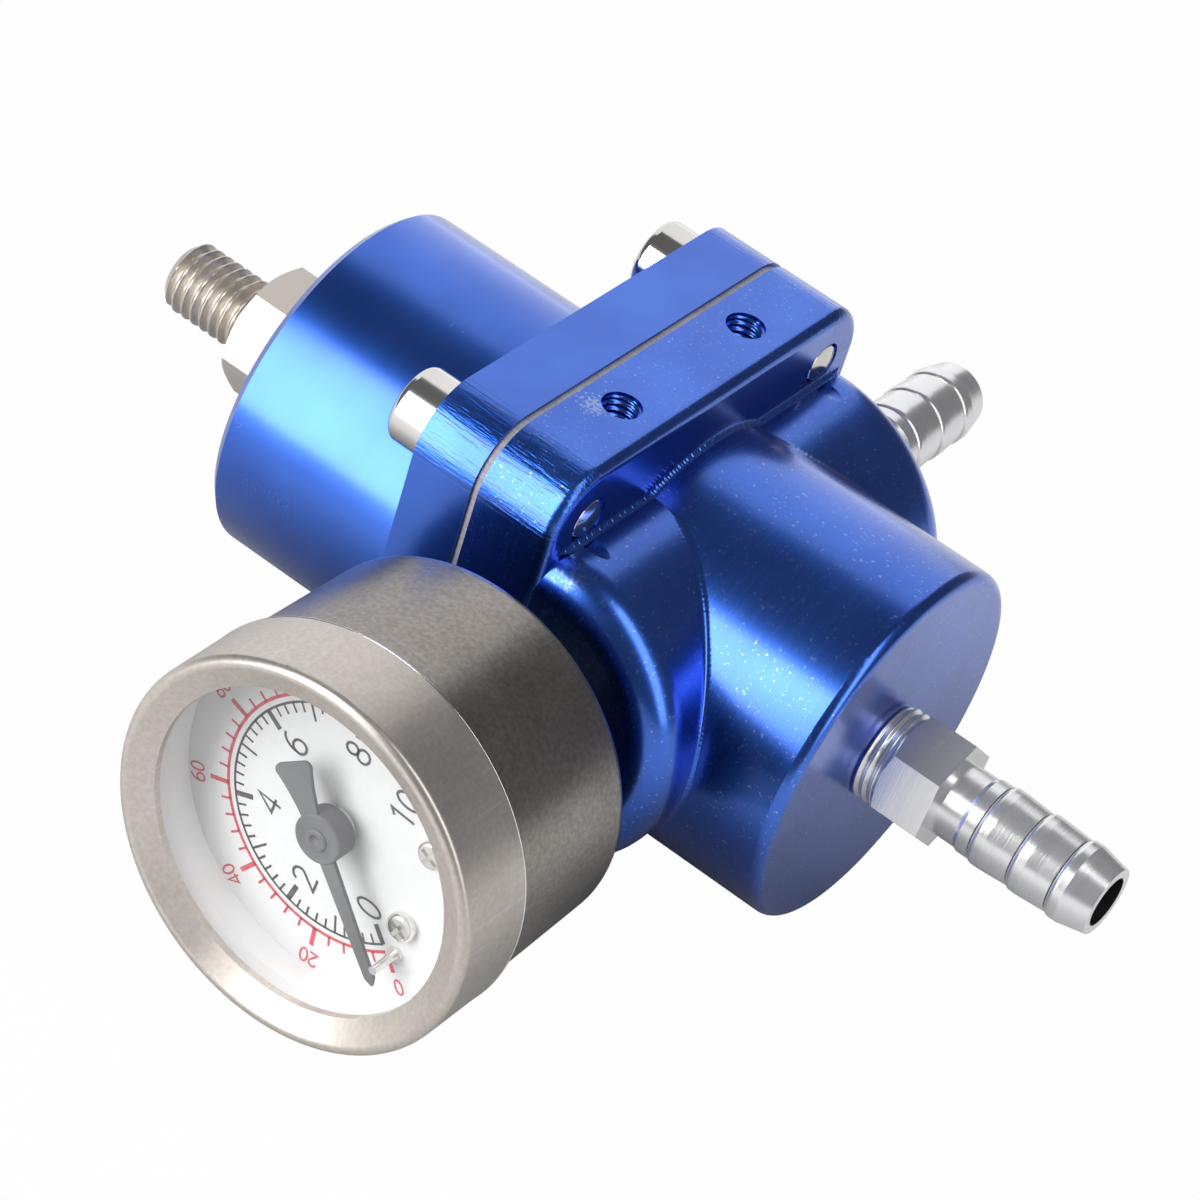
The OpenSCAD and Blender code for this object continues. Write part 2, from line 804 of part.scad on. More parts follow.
module return_barb() {
    color(BRIGHT)
        along_x(body_end_x)
            hose_barb(return_neck_len, return_hex_turn);
}

module inlet_barb() {
    color(BRIGHT)
        along_y(1, side_y)
            hose_barb(inlet_neck_len, 0);
}

// Gauge case

// Brass socket: pipe thread, hexagon, neck in the case, the block that carries the movement and the arm
// that holds the tube's fixed end. A bore, a cross hole and a riser lead the pressure into the tube.
module gauge_socket() {
    arm_u = 5;
    arm_front = tube_depth - 0.3;
    arm_gap = plate_half_w + gap + 0.1;
    block_over = 2;
    bore_stop = 3;
    bore_depth = block_depth + bore_stop;
    bore_r = 0.4 * passage_d;
    cross_r = 0.1 * passage_d;
    cross_depth = bore_depth + 3 * cross_r;
    riser_r = cross_r + 0.2;
    riser_u = bore_r - cross_r;
    root_depth = gauge_len - case_t / 2;
    hex_run = gauge_len + socket_hex_len - root_depth;
    color(BRASS)
        difference() {
            union() {
                in_gauge(root_depth)
                    cylinder(d = pipe_d, h = hex_run + pipe_show + pipe_grip);
                in_gauge(root_depth)
                    translate([0, 0, -case_t / 4])
                        turned_hex(socket_hex_af, hex_run + case_t / 4);
                in_gauge(case_floor_depth - cut)
                    cylinder(d = socket_neck_d, h = case_t + cut);
                dial_plate(block_depth, case_floor_depth - block_depth)
                    square([2 * arm_u, socket_neck_d + 2 * block_over], center = true);
                dial_plate(block_depth, case_floor_depth - block_depth)
                    translate([0, -tube_r - tube_t])
                        square([arm_u, tube_r + tube_t]);
                dial_plate(arm_front, case_floor_depth - arm_front)
                    translate([0, -tube_r - tube_t])
                        square([arm_u, tube_r + tube_t - arm_gap]);
            }
            in_gauge(bore_depth)
                cylinder(r = bore_r, h = far);
            in_gauge(cross_depth)
                translate([riser_u, 0, 0])
                    rotate([-90, 0, 0])
                        cylinder(r = cross_r, h = tube_r);
            in_gauge(tube_mid_depth - riser_r)
                translate([riser_u, tube_r, 0])
                    cylinder(r = riser_r, h = cross_depth - tube_mid_depth + 2 * riser_r);
            in_gauge(tube_mid_depth)
                translate([-cut, tube_r, 0])
                    rotate([0, 90, 0])
                        cylinder(r = cross_r, h = riser_u + cut);
        }
}

// Steel cup, open to the front, with a hole for the socket's neck
module gauge_case() {
    depth = gauge_len - case_depth;
    e = case_edge_r;
    inner = case_back_r - case_t;
    color(STEEL)
        in_gauge(case_depth)
            rotate_extrude()
                difference() {
                    union() {
                        polygon([[0, 0], [case_r, 0], [case_back_r, depth - e], [0, depth - e]]);
                        rounded_end(case_back_r, depth, e);
                    }
                    polygon([[0, 0], [case_r - case_t, 0], [inner, depth - case_t], [0, depth - case_t]]);
                    square([socket_neck_d / 2 + slip, depth]);
                }
}

// Ring with a conical lip that meets the rounded front edge on a tangent
module gauge_bezel() {
    e = bezel_edge_r;
    c = [bezel_r - e, e];
    p = [window_r, lip_depth];
    d = norm(c - p);
    a = atan2(p[1] - c[1], c[0] - p[0]) + asin(e / d);
    t = p + sqrt(d * d - e * e) * [cos(a), -sin(a)];
    color(STEEL)
        in_gauge()
            rotate_extrude()
                union() {
                    polygon([p, t, c, [c[0], lens_depth], [window_r, lens_depth]]);
                    intersection() {
                        translate(c)
                            circle(e);
                        square([bezel_r, lens_depth]);
                    }
                    translate([c[0], e])
                        square([e, lens_depth - e]);
                    translate([bezel_bore_r, e])
                        square([bezel_t, bezel_len - e]);
                }
}

module gauge_lens() {
    color([0.9, 0.95, 0.97, 0.35])
        in_gauge(lens_depth)
            cylinder(r = lens_r, h = lens_t);
}

// White ring under the lens: a flat gasket on the case's rim and a sleeve down to the dial
module lens_gasket() {
    color([0.9, 0.9, 0.89])
        in_gauge(gasket_depth)
            difference() {
                union() {
                    cylinder(r = lens_r, h = gasket_t);
                    cylinder(r = dial_r, h = dial_depth - gasket_depth);
                }
                translate([0, 0, -cut])
                    cylinder(r = dial_r - gasket_wall, h = far);
            }
}

// Gauge dial

module gauge_dial() {
    color([0.95, 0.95, 0.95])
        dial_plate(dial_depth, dial_t)
            difference() {
                circle(dial_r);
                circle(3 * arbor_r);
                for (p = dial_screw_places)
                    translate(p)
                        circle(dial_screw_head_d / 4 + slip);
                translate(stop_pin_place)
                    circle(stop_pin_d / 2 + slip / 2);
            }
}

// The stop pin stands beside the resting pointer's edge
blade_half_w = 0.95;
tip_half_w = 0.55;
blade_w_at_pin = blade_half_w + (tip_half_w - blade_half_w) * stop_pin_r / pointer_len;
stop_pin_angle = zero_angle - asin((stop_pin_d / 2 + blade_w_at_pin + slip) / stop_pin_r);
stop_pin_place = stop_pin_r * [-cos(stop_pin_angle), sin(stop_pin_angle)];

module stop_pin() {
    collar_h = 0.4;
    color(BRIGHT) {
        dial_plate(stop_pin_front, dial_back - stop_pin_front)
            translate(stop_pin_place)
                circle(stop_pin_d / 2);
        dial_plate(dial_depth - collar_h, collar_h)
            translate(stop_pin_place)
                circle(stop_pin_d);
    }
}

module dial_screw() {
    head_h = 1;
    slot_w = 0.45;
    shank = dial_t + post_h + plate_t;
    difference() {
        union() {
            rotate([180, 0, 0])
                rotate_extrude()
                    rounded_end(dial_screw_head_d / 2, head_h, head_h / 2);
            translate([0, 0, -head_h / 4])
                cylinder(d = dial_screw_head_d / 2, h = shank + head_h / 4);
        }
        for (a = [0, 90])
            rotate([0, 0, a + 20])
                translate([-dial_screw_head_d / 3, -slot_w / 2, -head_h - cut])
                    cube([dial_screw_head_d * 2 / 3, slot_w, head_h / 2 + cut]);
    }
}

module dial_screws() {
    color(BRIGHT)
        for (p = dial_screw_places)
            in_gauge(dial_depth)
                translate([p[0], -p[1], 0])
                    dial_screw();
}

// Pointer blade along -u with a pointed tip, and a tail along +u that flares and ends in rounded corners
module pointer_outline() {
    tail_start_w = 0.9;
    tail_end_w = 2.2;
    corner_r = 0.7;
    point = 0.8;
    steps = 8;
    flare = tail_len - corner_r;
    tail = [for (i = [0:steps]) let (k = i / steps) [flare * k, tail_start_w + (tail_end_w - tail_start_w) * k * k]];
    tail_back = [for (i = [steps:-1:0]) [tail[i][0], -tail[i][1]]];
    polygon([[0, blade_half_w], [point - pointer_len, tip_half_w], [-pointer_len, 0],
        [point - pointer_len, -tip_half_w], [0, -blade_half_w]]);
    polygon(concat(tail, tail_back));
    translate([flare, corner_r - tail_end_w])
        square([corner_r, 2 * (tail_end_w - corner_r)]);
    for (s = [-1, 1])
        translate([flare, s * (tail_end_w - corner_r)])
            circle(corner_r);
}

// Half section of the pointer's hub: a round plate, a low boss on it and a dimple in the boss
module hub_section() {
    boss_r = 1.2;
    boss_h = 0.3;
    edge_r = 0.25;
    ball_r = 0.8;
    difference() {
        union() {
            rounded_end(hub_d / 2, hub_t, edge_r);
            rounded_end(boss_r, hub_t + boss_h, edge_r);
        }
        translate([0, hub_t + boss_h + ball_r / 2])
            circle(ball_r);
    }
}

module pointer() {
    hole_stop = 0.8;
    color([0.3, 0.3, 0.31])
        difference() {
            union() {
                dial_plate(pointer_depth, pointer_t)
                    rotate(-zero_angle)
                        pointer_outline();
                in_gauge(hub_back)
                    rotate([180, 0, 0])
                        rotate_extrude()
                            hub_section();
            }
            in_gauge(hub_front + hole_stop)
                cylinder(r = arbor_r + slip, h = far);
        }
}

// Gauge movement

module pointer_arbor() {
    teeth = [for (i = [0:pinion_teeth - 1]) each tooth_points(pinion_r, pinion_teeth, (i + 0.5) * 360 / pinion_teeth + 180)];
    collet_depth = front_plate_depth + plate_t + 0.2;
    arbor_front = hub_front + 1;
    color(BRASS) {
        in_gauge(arbor_front)
            cylinder(r = arbor_r, h = block_depth - slip - arbor_front);
        in_gauge(hub_back + slip)
            cylinder(d = hub_d * 0.8, h = collar_back - hub_back - slip);
        in_gauge(collet_depth)
            cylinder(r = 1.7 * arbor_r, h = 0.6);
        dial_plate(gear_depth, gear_t)
            polygon(teeth);
    }
}

// Toothed sector on its arbor, with a tail that carries the link's pin
module sector_gear() {
    step = 360 / sector_circle_teeth;
    root = sector_r - tooth_down;
    rim = [for (i = [sector_first:sector_last]) each tooth_points(sector_r, sector_circle_teeth, i * step)];
    open_a = [sector_first * step + 14, sector_last * step - 14];
    hub_r = 1.7;
    color(BRASS) {
        dial_plate(gear_depth, gear_t)
            translate([gear_distance, 0])
                difference() {
                    union() {
                        polygon(concat([[0, 0]], rim));
                        circle(hub_r);
                        rotate(-tail_angle)
                            translate([-tail_pin_r, -0.8])
                                square([tail_pin_r, 1.6]);
                        rotate(-tail_angle)
                            translate([-tail_pin_r, 0])
                                circle(link_eye_r);
                    }
                    polygon(concat(arc_points(root - 1, open_a[0], open_a[1], 8),
                        arc_points(hub_r + 1, open_a[1], open_a[0], 8)));
                }
        dial_plate(front_plate_depth + slip, block_depth - front_plate_depth - 2 * slip)
            translate([gear_distance, 0])
                circle(arbor_r);
        dial_plate(link_pin_depth, gear_depth + gear_t - link_pin_depth)
            translate(tail_pin)
                circle(link_pin_r);
    }
}

// Flat spiral band between the collet and the front plate's stud
module hairspring() {
    turns = 4;
    steps = 20;
    band = 0.12;
    r0 = 1.7 * arbor_r + slip;
    r1 = 3.2;
    inner = [for (i = [0:turns * steps]) let (k = i / (turns * steps)) (r0 + (r1 - r0) * k) * [cos(360 * turns * k), sin(360 * turns * k)]];
    outer = [for (i = [turns * steps:-1:0]) let (k = i / (turns * steps)) (r0 + band + (r1 - r0) * k) * [cos(360 * turns * k), sin(360 * turns * k)]];
    color(BRASS)
        dial_plate(front_plate_depth + plate_t + 0.25, 0.5)
            polygon(concat(inner, outer));
}

// Holes that the arbors run in
module arbor_holes() {
    circle(arbor_r + slip);
    translate([gear_distance, 0])
        circle(arbor_r + slip);
}

module movement_front_plate() {
    screw_r = dial_screw_head_d / 4;
    color(BRASS)
        difference() {
            union() {
                dial_plate(front_plate_depth, plate_t)
                    difference() {
                        translate([-plate_head, -plate_half_w])
                            square([plate_head + gear_distance + front_plate_foot, 2 * plate_half_w]);
                        arbor_holes();
                    }
                dial_plate(dial_back, post_h + plate_t / 2)
                    for (p = dial_screw_places)
                        translate(p)
                            circle(screw_r + 1);
            }
            dial_plate(dial_back - cut, post_h + plate_t + 2 * cut)
                for (p = dial_screw_places)
                    translate(p)
                        circle(screw_r + slip);
        }
}

module movement_back_plate() {
    color(BRASS)
        dial_plate(back_plate_depth, plate_t)
            difference() {
                union() {
                    translate([-plate_head, -plate_half_w])
                        square([plate_head + gear_distance + back_plate_foot, plate_half_w + back_plate_step]);
                    translate([-plate_head, 0])
                        square([plate_head + gear_distance + back_plate_step, back_plate_half_w]);
                }
                arbor_holes();
            }
}

module movement_pillars() {
    color(BRASS)
        dial_plate(front_plate_depth + plate_t, plate_gap)
            for (p = pillar_places)
                translate(p)
                    circle(pillar_r);
}

// Half section of the flattened tube: a flat oval at radius r round the gauge's axis
module oval(r, t, w) {
    translate([r - t / 2, -(w - t) / 2])
        square([t, w - t]);
    for (s = [-1, 1])
        translate([r, s * (w - t) / 2])
            circle(t / 2);
}

// Sweeps a half section round the gauge's axis, angles counted from +u towards +v
module tube_sweep_from(a0, a) {
    on_axis()
        translate([cross_x, -gauge_reach + tube_mid_depth, 0])
            rotate([0, gauge_turn, 0])
                rotate([90, 0, 0])
                    rotate([0, 0, a0])
                        rotate_extrude(angle = a)
                            children();
}

module bourdon_tube() {
    color(BRASS)
        tube_sweep_from(tube_tip_angle, tube_sweep)
            difference() {
                oval(tube_r, tube_t, tube_w);
                oval(tube_r, tube_t - 2 * tube_wall, tube_w - 2 * tube_wall);
            }
}

module tube_tip() {
    color(BRASS) {
        tube_sweep_from(tube_tip_angle - plug_angle, plug_angle)
            oval(tube_r, tube_t, tube_w);
        dial_plate(link_pin_depth, tube_depth + 1.5 - link_pin_depth)
            translate(tip_pin)
                circle(link_pin_r);
    }
}

// Flat link with an eye at each end; the sector's eye is wide because its pin moves on an arc
module tip_link() {
    run = tip_pin - tail_pin;
    color(BRASS)
        dial_plate(link_depth, link_t)
            difference() {
                union() {
                    translate(tail_pin)
                        rotate(atan2(run[1], run[0]))
                            translate([0, -0.7])
                                square([norm(run), 1.4]);
                    translate(tail_pin)
                        circle(link_eye_r);
                    translate(tip_pin)
                        circle(link_eye_r);
                }
                translate(tail_pin)
                    circle(link_pin_r + 0.4);
                translate(tip_pin)
                    circle(link_pin_r + slip);
            }
}

spring_housing();
lower_body();
diaphragm();
cap_screws();
adjusting_screw();
lock_nut();
return_barb();
inlet_barb();
main_spring();
spring_cap();
diaphragm_cup();
valve_holder();
stem_nut();
valve_pad();
valve_seat();
gauge_socket();
gauge_case();
gauge_bezel();
gauge_lens();
lens_gasket();
gauge_dial();
dial_screws();
stop_pin();
pointer();
pointer_arbor();
sector_gear();
hairspring();
movement_front_plate();
movement_back_plate();
movement_pillars();
bourdon_tube();
tube_tip();
tip_link();
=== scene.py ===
"""Looks of the fuel pressure regulator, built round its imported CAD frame.

Metres, in the frame of the part: +X along the main axis to the return barb, -Y the way the dial faces,
+Z out of the face with the bracket holes, origin midway between those holes.
"""

import bpy
import numpy as np
from mathutils import Matrix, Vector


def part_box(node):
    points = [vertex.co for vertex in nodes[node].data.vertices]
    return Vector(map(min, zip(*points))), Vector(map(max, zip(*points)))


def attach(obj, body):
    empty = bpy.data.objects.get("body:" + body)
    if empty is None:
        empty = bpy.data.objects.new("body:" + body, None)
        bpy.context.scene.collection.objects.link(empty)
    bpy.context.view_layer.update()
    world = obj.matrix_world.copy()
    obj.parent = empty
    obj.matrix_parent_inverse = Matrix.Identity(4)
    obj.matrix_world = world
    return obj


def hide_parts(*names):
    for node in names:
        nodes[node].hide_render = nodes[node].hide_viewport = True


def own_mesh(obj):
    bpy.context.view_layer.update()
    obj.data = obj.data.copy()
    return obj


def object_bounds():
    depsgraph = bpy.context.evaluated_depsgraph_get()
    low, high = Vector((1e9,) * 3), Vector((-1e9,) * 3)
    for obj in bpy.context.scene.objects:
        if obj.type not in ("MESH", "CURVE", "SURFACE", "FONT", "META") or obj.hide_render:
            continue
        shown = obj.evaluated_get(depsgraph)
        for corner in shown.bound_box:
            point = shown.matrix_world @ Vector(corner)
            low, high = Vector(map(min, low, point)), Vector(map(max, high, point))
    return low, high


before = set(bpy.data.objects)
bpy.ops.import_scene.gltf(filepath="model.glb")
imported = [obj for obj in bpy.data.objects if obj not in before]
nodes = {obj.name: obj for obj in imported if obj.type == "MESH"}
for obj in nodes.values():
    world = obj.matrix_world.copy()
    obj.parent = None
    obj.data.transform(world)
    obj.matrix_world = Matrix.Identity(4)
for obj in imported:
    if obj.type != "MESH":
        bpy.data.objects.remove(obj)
cad_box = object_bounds()

MM = 0.001
AXIS_Z = -26.5 * MM
FLANGE_FRONT_X = 5.0 * MM
CROSS_X = 5.7 * MM
BODY_R = 20.2 * MM
BOSS_R = 18.0 * MM
SCREW_PITCH = 40.6 * MM
SCREW_END_X = 4.9 * MM
SCREW_END_R = 2.04 * MM
SCREW_END_RISE = 0.45 * MM
CREASE_END_Y = 24.6 * MM
BRACKET_HOLE_Y = 10.65 * MM
RETURN_THREAD_X = 33.7 * MM
INLET_THREAD_Y = 26.5 * MM
PIPE_THREAD_LENGTH = 2.6 * MM
PIPE_R = 5.0 * MM
BARB_BORE_R = 2.7 * MM
VALVE_BORE_R = 1.0 * MM
GAUGE_TURN = np.radians(5)
BEZEL_BACK_Y = -51.2 * MM
BEZEL_BACK_R = 20.42 * MM
DIAL_FRONT_Y = -51.8 * MM
PRINT_LIFT = 0.03 * MM
ZERO_ANGLE = 225.0
SCALE_SPAN = 270.0
RED_FULL = 145
FIGURE_SPACING = 0.72

# Heights that the bump nodes give to a finish, and the point that the lamps face
FINE_RELIEF = 0.00002
WOVEN_RELIEF = 0.00005
MILLED_RELIEF = 0.00006
LAMP_AIM = (0.01, -0.005, -0.027)


# Mesh makers

def mesh_piece(name, points, faces, sharp_deg=35):
    """Mesh object from an array of points and an array of faces, smooth but for edges past sharp_deg."""
    mesh = bpy.data.meshes.new(name)
    mesh.from_pydata(np.asarray(points, float).reshape(-1, 3).tolist(), [], np.asarray(faces).tolist())
    mesh.polygons.foreach_set("use_smooth", np.ones(len(mesh.polygons), bool))
    mesh.set_sharp_from_angle(angle=np.radians(sharp_deg))
    mesh.validate()
    piece = bpy.data.objects.new(name, mesh)
    bpy.context.scene.collection.objects.link(piece)
    return piece


def grid_faces(rows, columns, wrap=False):
    """Quads of a rows by columns grid of points, counted row by row; wrap joins the last column to the first."""
    r, c = np.meshgrid(np.arange(rows - 1), np.arange(columns if wrap else columns - 1), indexing="ij")
    d = (c + 1) % columns
    quads = np.stack([r * columns + c, r * columns + d, (r + 1) * columns + d, (r + 1) * columns + c], -1)
    return quads.reshape(-1, 4)


def full_turn(count):
    """Evenly spaced angles round one turn."""
    return np.linspace(0, 2 * np.pi, count, endpoint=False)


def dress(piece, body, slot, material, *replaced):
    """Gives a new piece its body, its material and the CAD nodes that it stands for. The slot is not used."""
    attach(piece, body)
    piece.data.materials.append(material)
    if replaced:
        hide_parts(*replaced)
    return piece


# Threads

def thread_wave(turns, flat=0.18):
    """Height of a V thread, 0 at the root and 1 at the crest, for a phase in turns: a triangle wave with its
    tips cut to flats."""
    ramp = 2 * np.abs((turns % 1.0) - 0.5)
    return np.clip((ramp - flat) / (1 - 2 * flat), 0, 1)


def adjusting_screw_surface(material):
    """The adjusting screw as one closed surface. Its rows run from the middle of the socket's floor up the
    socket's six walls, over the end, along the thread and to the middle of the tip; its columns go round.
    Thread radius = root + (crest - root) * wave(x / pitch - angle / turn), never outside the end cones."""
    low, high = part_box("adjusting_screw")
    x0, x1 = low.x, high.x
    crest, root, pitch, chamfer = 4.0 * MM, 3.34 * MM, 1.25 * MM, 0.9 * MM
    socket_r, middle_r, least_share = 2.0 * MM, 1e-6, 0.3
    a = full_turn(72)
    x = np.linspace(x0, x1, 300)
    wave = thread_wave(x[:, None] / pitch - a[None, :] / (2 * np.pi))
    cones = np.minimum(crest - chamfer + (x - x0), crest - 2 * chamfer + (x1 - x))
    thread = np.minimum(root + (crest - root) * wave, np.maximum(cones, least_share * crest)[:, None])
    hexagon = socket_r / np.cos((a + np.pi / 6) % (np.pi / 3) - np.pi / 6)
    floor_x = x0 + crest
    middle = np.full_like(a, middle_r)
    radii = np.vstack([middle, hexagon, hexagon, thread, middle])
    places = np.concatenate([[floor_x, floor_x, x0], x, [x1]])
    points = np.stack([np.broadcast_to(places[:, None], radii.shape),
                       radii * np.sin(a), AXIS_Z + radii * np.cos(a)], -1)
    piece = mesh_piece("adjusting_screw_thread", points, grid_faces(*radii.shape, wrap=True)[:, ::-1], 30)
    return dress(piece, "adjusting_screw", "nickel_steel", material, "adjusting_screw")


def bracket_hole_thread(name, y, material):
    """Lining of a tapped bracket hole: radius = crest + depth * (1 - wave(z / pitch - angle / turn)), seen from
    inside, with a short countersink at the mouth."""
    crest, depth, pitch = 1.78 * MM, 0.3 * MM, 0.8 * MM
    mouth_z, end_z, countersink, widest = -0.15 * MM, -9.9 * MM, 0.7 * MM, 2.09 * MM
    a = full_turn(48)
    z = np.linspace(mouth_z, end_z, 140)
    wave = thread_wave(z[:, None] / pitch - a[None, :] / (2 * np.pi))
    radius = np.minimum(crest + depth * (1 - wave) + np.clip(z + countersink, 0, 1)[:, None], widest)
    points = np.stack([radius * np.cos(a), y + radius * np.sin(a), np.broadcast_to(z[:, None], radius.shape)], -1)
    piece = mesh_piece(name, points, grid_faces(*radius.shape, wrap=True), 40)
    return dress(piece, "root", "blue_anodised", material)


def pipe_thread(name, start, along, length, radius, material):
    """Ridges of a pipe thread on a fitting: radius = pipe - sunk + height * wave(s / pitch - angle / turn) along
    the fitting's axis, faded at both ends, where the ridges sink into the pipe."""
    pitch, height, flat, sunk, fade_run = 0.94 * MM, 0.34 * MM, 0.12, 0.02 * MM, 0.25 * MM
    a = full_turn(64)
    s = np.linspace(0, length, 60)
    fade = np.clip(np.minimum(s, length - s) / fade_run, 0, 1)
    wave = thread_wave(s[:, None] / pitch - a[None, :] / (2 * np.pi), flat)
    r = radius - sunk + height * wave * fade[:, None]
    along = np.array(along, float)
    side = np.array([along[1], along[2], along[0]])
    third = np.cross(along, side)
    points = (np.array(start) + s[:, None, None] * along + r[..., None] * np.cos(a)[:, None] * side
              + r[..., None] * np.sin(a)[:, None] * third)
    piece = mesh_piece(name, points, grid_faces(*r.shape, wrap=True)[:, ::-1], 40)
    return dress(piece, "root", "bright_aluminium", material)


# Creases of the lower body

def crease_bead(name, line, normal_a, normal_b, width, ripple, period, material):
    """Hollow bead that a ball cutter leaves in an inside corner. Across: a parabola from one surface to the
    other with its control point in the corner. Along: its width swells by ripple with the given period and with
    a longer one, and runs out over the last 2 mm at each end."""
    across, end_run, least_end, second_share, second_period = 9, 2.0 * MM, 0.04, 0.6, 1.63
    line, normal_a, normal_b = (np.asarray(v, float) for v in (line, normal_a, normal_b))
    tangent = np.gradient(line, axis=0)
    tangent /= np.linalg.norm(tangent, axis=1, keepdims=True)
    run = np.concatenate([[0], np.cumsum(np.linalg.norm(np.diff(line, axis=0), axis=1))])
    arm_a = np.cross(tangent, normal_a)
    arm_b = np.cross(tangent, normal_b)
    arm_a *= np.sign(np.sum(arm_a * normal_b, 1, keepdims=True))
    arm_b *= np.sign(np.sum(arm_b * normal_a, 1, keepdims=True))
    wobble = (np.sin(2 * np.pi * run / period)
              + second_share * np.sin(2 * np.pi * run / (second_period * period) + 1))
    run_out = np.clip(np.minimum(run, run[-1] - run) / end_run, least_end, 1)
    reach = width * (run_out * (1 + ripple * wobble))[:, None, None]
    s = np.linspace(0, 1, across)[None, :, None]
    points = line[:, None] + reach * ((1 - s) ** 2 * arm_a[:, None] + s ** 2 * arm_b[:, None])
    facing = np.cross(points[:-1, 1] - points[:-1, 0], points[1:, 0] - points[:-1, 0])
    turned = np.mean(np.sum(facing * (normal_a + normal_b)[:-1], 1)) < 0
    faces = grid_faces(len(line), across)
    piece = mesh_piece(name, points, faces if turned else faces[:, ::-1], 60)
    return dress(piece, "root", "blue_anodised", material)


def flange_crease(side, material):
    """Crease between the flange's front face and the round parts before it, on the top (1) or bottom (-1): along
    a boss, over the barrel's arch and along the other boss."""
    width, ripple, period = 0.8 * MM, 0.09, 0.42 * MM
    y = np.linspace(-CREASE_END_Y, CREASE_END_Y, 1100)
    arch = np.sqrt(np.maximum(BODY_R ** 2 - y ** 2, 0))
    on_boss = arch < BOSS_R
    z = side * np.where(on_boss, BOSS_R, arch)
    line = np.stack([np.full_like(y, FLANGE_FRONT_X), y, AXIS_Z + z], 1)
    up = np.stack([0 * y, np.where(on_boss, 0, y / BODY_R), z / np.where(on_boss, BOSS_R, BODY_R)], 1)
    ahead = np.broadcast_to([1.0, 0, 0], up.shape)
    name = "flange_crease_top" if side > 0 else "flange_crease_bottom"
    return crease_bead(name, line, ahead, up, width, ripple, period, material)


def boss_crease(side, material):
    """Crease where a cross boss (side -1 or 1 along Y) runs into the barrel: the meeting line of two cylinders,
    (x - cross)^2 + z^2 = boss^2 and y^2 + z^2 = barrel^2."""
    width, ripple, period, left_off = 0.55 * MM, 0.06, 0.5 * MM, 12
    t = np.linspace(-0.5 * np.pi, 0.5 * np.pi, 500)[left_off:-left_off]
    z = BOSS_R * np.sin(t)
    out = BOSS_R * np.cos(t)
    y = side * np.sqrt(BODY_R ** 2 - z ** 2)
    line = np.stack([CROSS_X + out, y, AXIS_Z + z], 1)
    boss = np.stack([out, 0 * z, z], 1) / BOSS_R
    barrel = np.stack([0 * z, y, z], 1) / BODY_R
    name = "gauge_boss_crease" if side < 0 else "inlet_boss_crease"
    return crease_bead(name, line, boss, barrel, width, ripple, period, material)


# Main spring

def main_spring_coil(material):
    """Main spring: a round wire carried along a coil whose first and last turns lie
    closed and whose other turns rise evenly. It ends short of the cup by the valve's lift."""
    cap_x, cup_x, lift, press = -25.4 * MM, -6.0 * MM, 1.2 * MM, 4.0 * MM
    wire_r, coil_r, turns, closed = 1.1 * MM, 8.6 * MM, 5, 2.25 * MM
    rows, sides = 241, 12
    length = cup_x - lift - cap_x
    rise = length - 2 * wire_r
    t, a = np.meshgrid(np.linspace(0, turns, rows), full_turn(sides), indexing="ij")
    height = np.interp(t, [0, 1, turns - 1, turns], [0, closed, rise - closed, rise])
    r = coil_r + wire_r * np.cos(a)
    points = np.stack([cap_x + wire_r + height + wire_r * np.sin(a), r * np.cos(2 * np.pi * t),
                       AXIS_Z + r * np.sin(2 * np.pi * t)], -1)
    cap = np.array([[0, 1, 2, 11], [2, 3, 10, 11], [3, 4, 9, 10], [4, 5, 8, 9], [5, 6, 7, 8]])
    faces = np.vstack([grid_faces(rows, sides, wrap=True), cap[:, ::-1], cap + (rows - 1) * sides])
    piece = mesh_piece("main_spring_coil", points, faces[:, ::-1])
    dress(piece, "root", "plain_steel", material, "main_spring")
    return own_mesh(piece)


# Screw ends and the bezel's back edge

def screw_ends(material):
    """Rounded ends of the flange screws: a square grid of two parameters drawn into a disc, raised by a height
    that falls with the square of the radius."""
    count = 21
    u, v = np.meshgrid(np.linspace(-1, 1, count), np.linspace(-1, 1, count), indexing="ij")
    across, up = u * np.sqrt(1 - v * v / 2), v * np.sqrt(1 - u * u / 2)
    ahead = SCREW_END_X + SCREW_END_RISE * (1 - across ** 2 - up ** 2)
    middles = SCREW_PITCH / 2 * np.array([[-1, -1], [1, -1], [1, 1], [-1, 1]])
    points = [np.stack([ahead, y + SCREW_END_R * across, AXIS_Z + z + SCREW_END_R * up], -1).reshape(-1, 3)
              for y, z in middles]
    faces = [grid_faces(count, count)[:, ::-1] + k * count ** 2 for k in range(len(middles))]
    piece = mesh_piece("flange_screw_ends", np.vstack(points), np.vstack(faces))
    return dress(piece, "root", "nickel_steel", material)


def bezel_edge(material):
    """Turned-in back edge of the bezel's skirt: a thin round bead swept round the gauge's axis, a circle of
    angles by a circle of angles."""
    rows, sides, bead_r = 180, 12, 0.13 * MM
    turn, bead = np.meshgrid(full_turn(rows), full_turn(sides), indexing="ij")
    r = BEZEL_BACK_R + bead_r * np.cos(bead)
    points = np.stack([CROSS_X + r * np.cos(turn), BEZEL_BACK_Y + bead_r * np.sin(bead),
                       AXIS_Z + r * np.sin(turn)], -1)
    faces = grid_faces(rows + 1, sides, wrap=True) % (rows * sides)
    piece = mesh_piece("bezel_edge", points, faces[:, ::-1])
    return dress(piece, "root", "satin_steel", material)


# Dial print

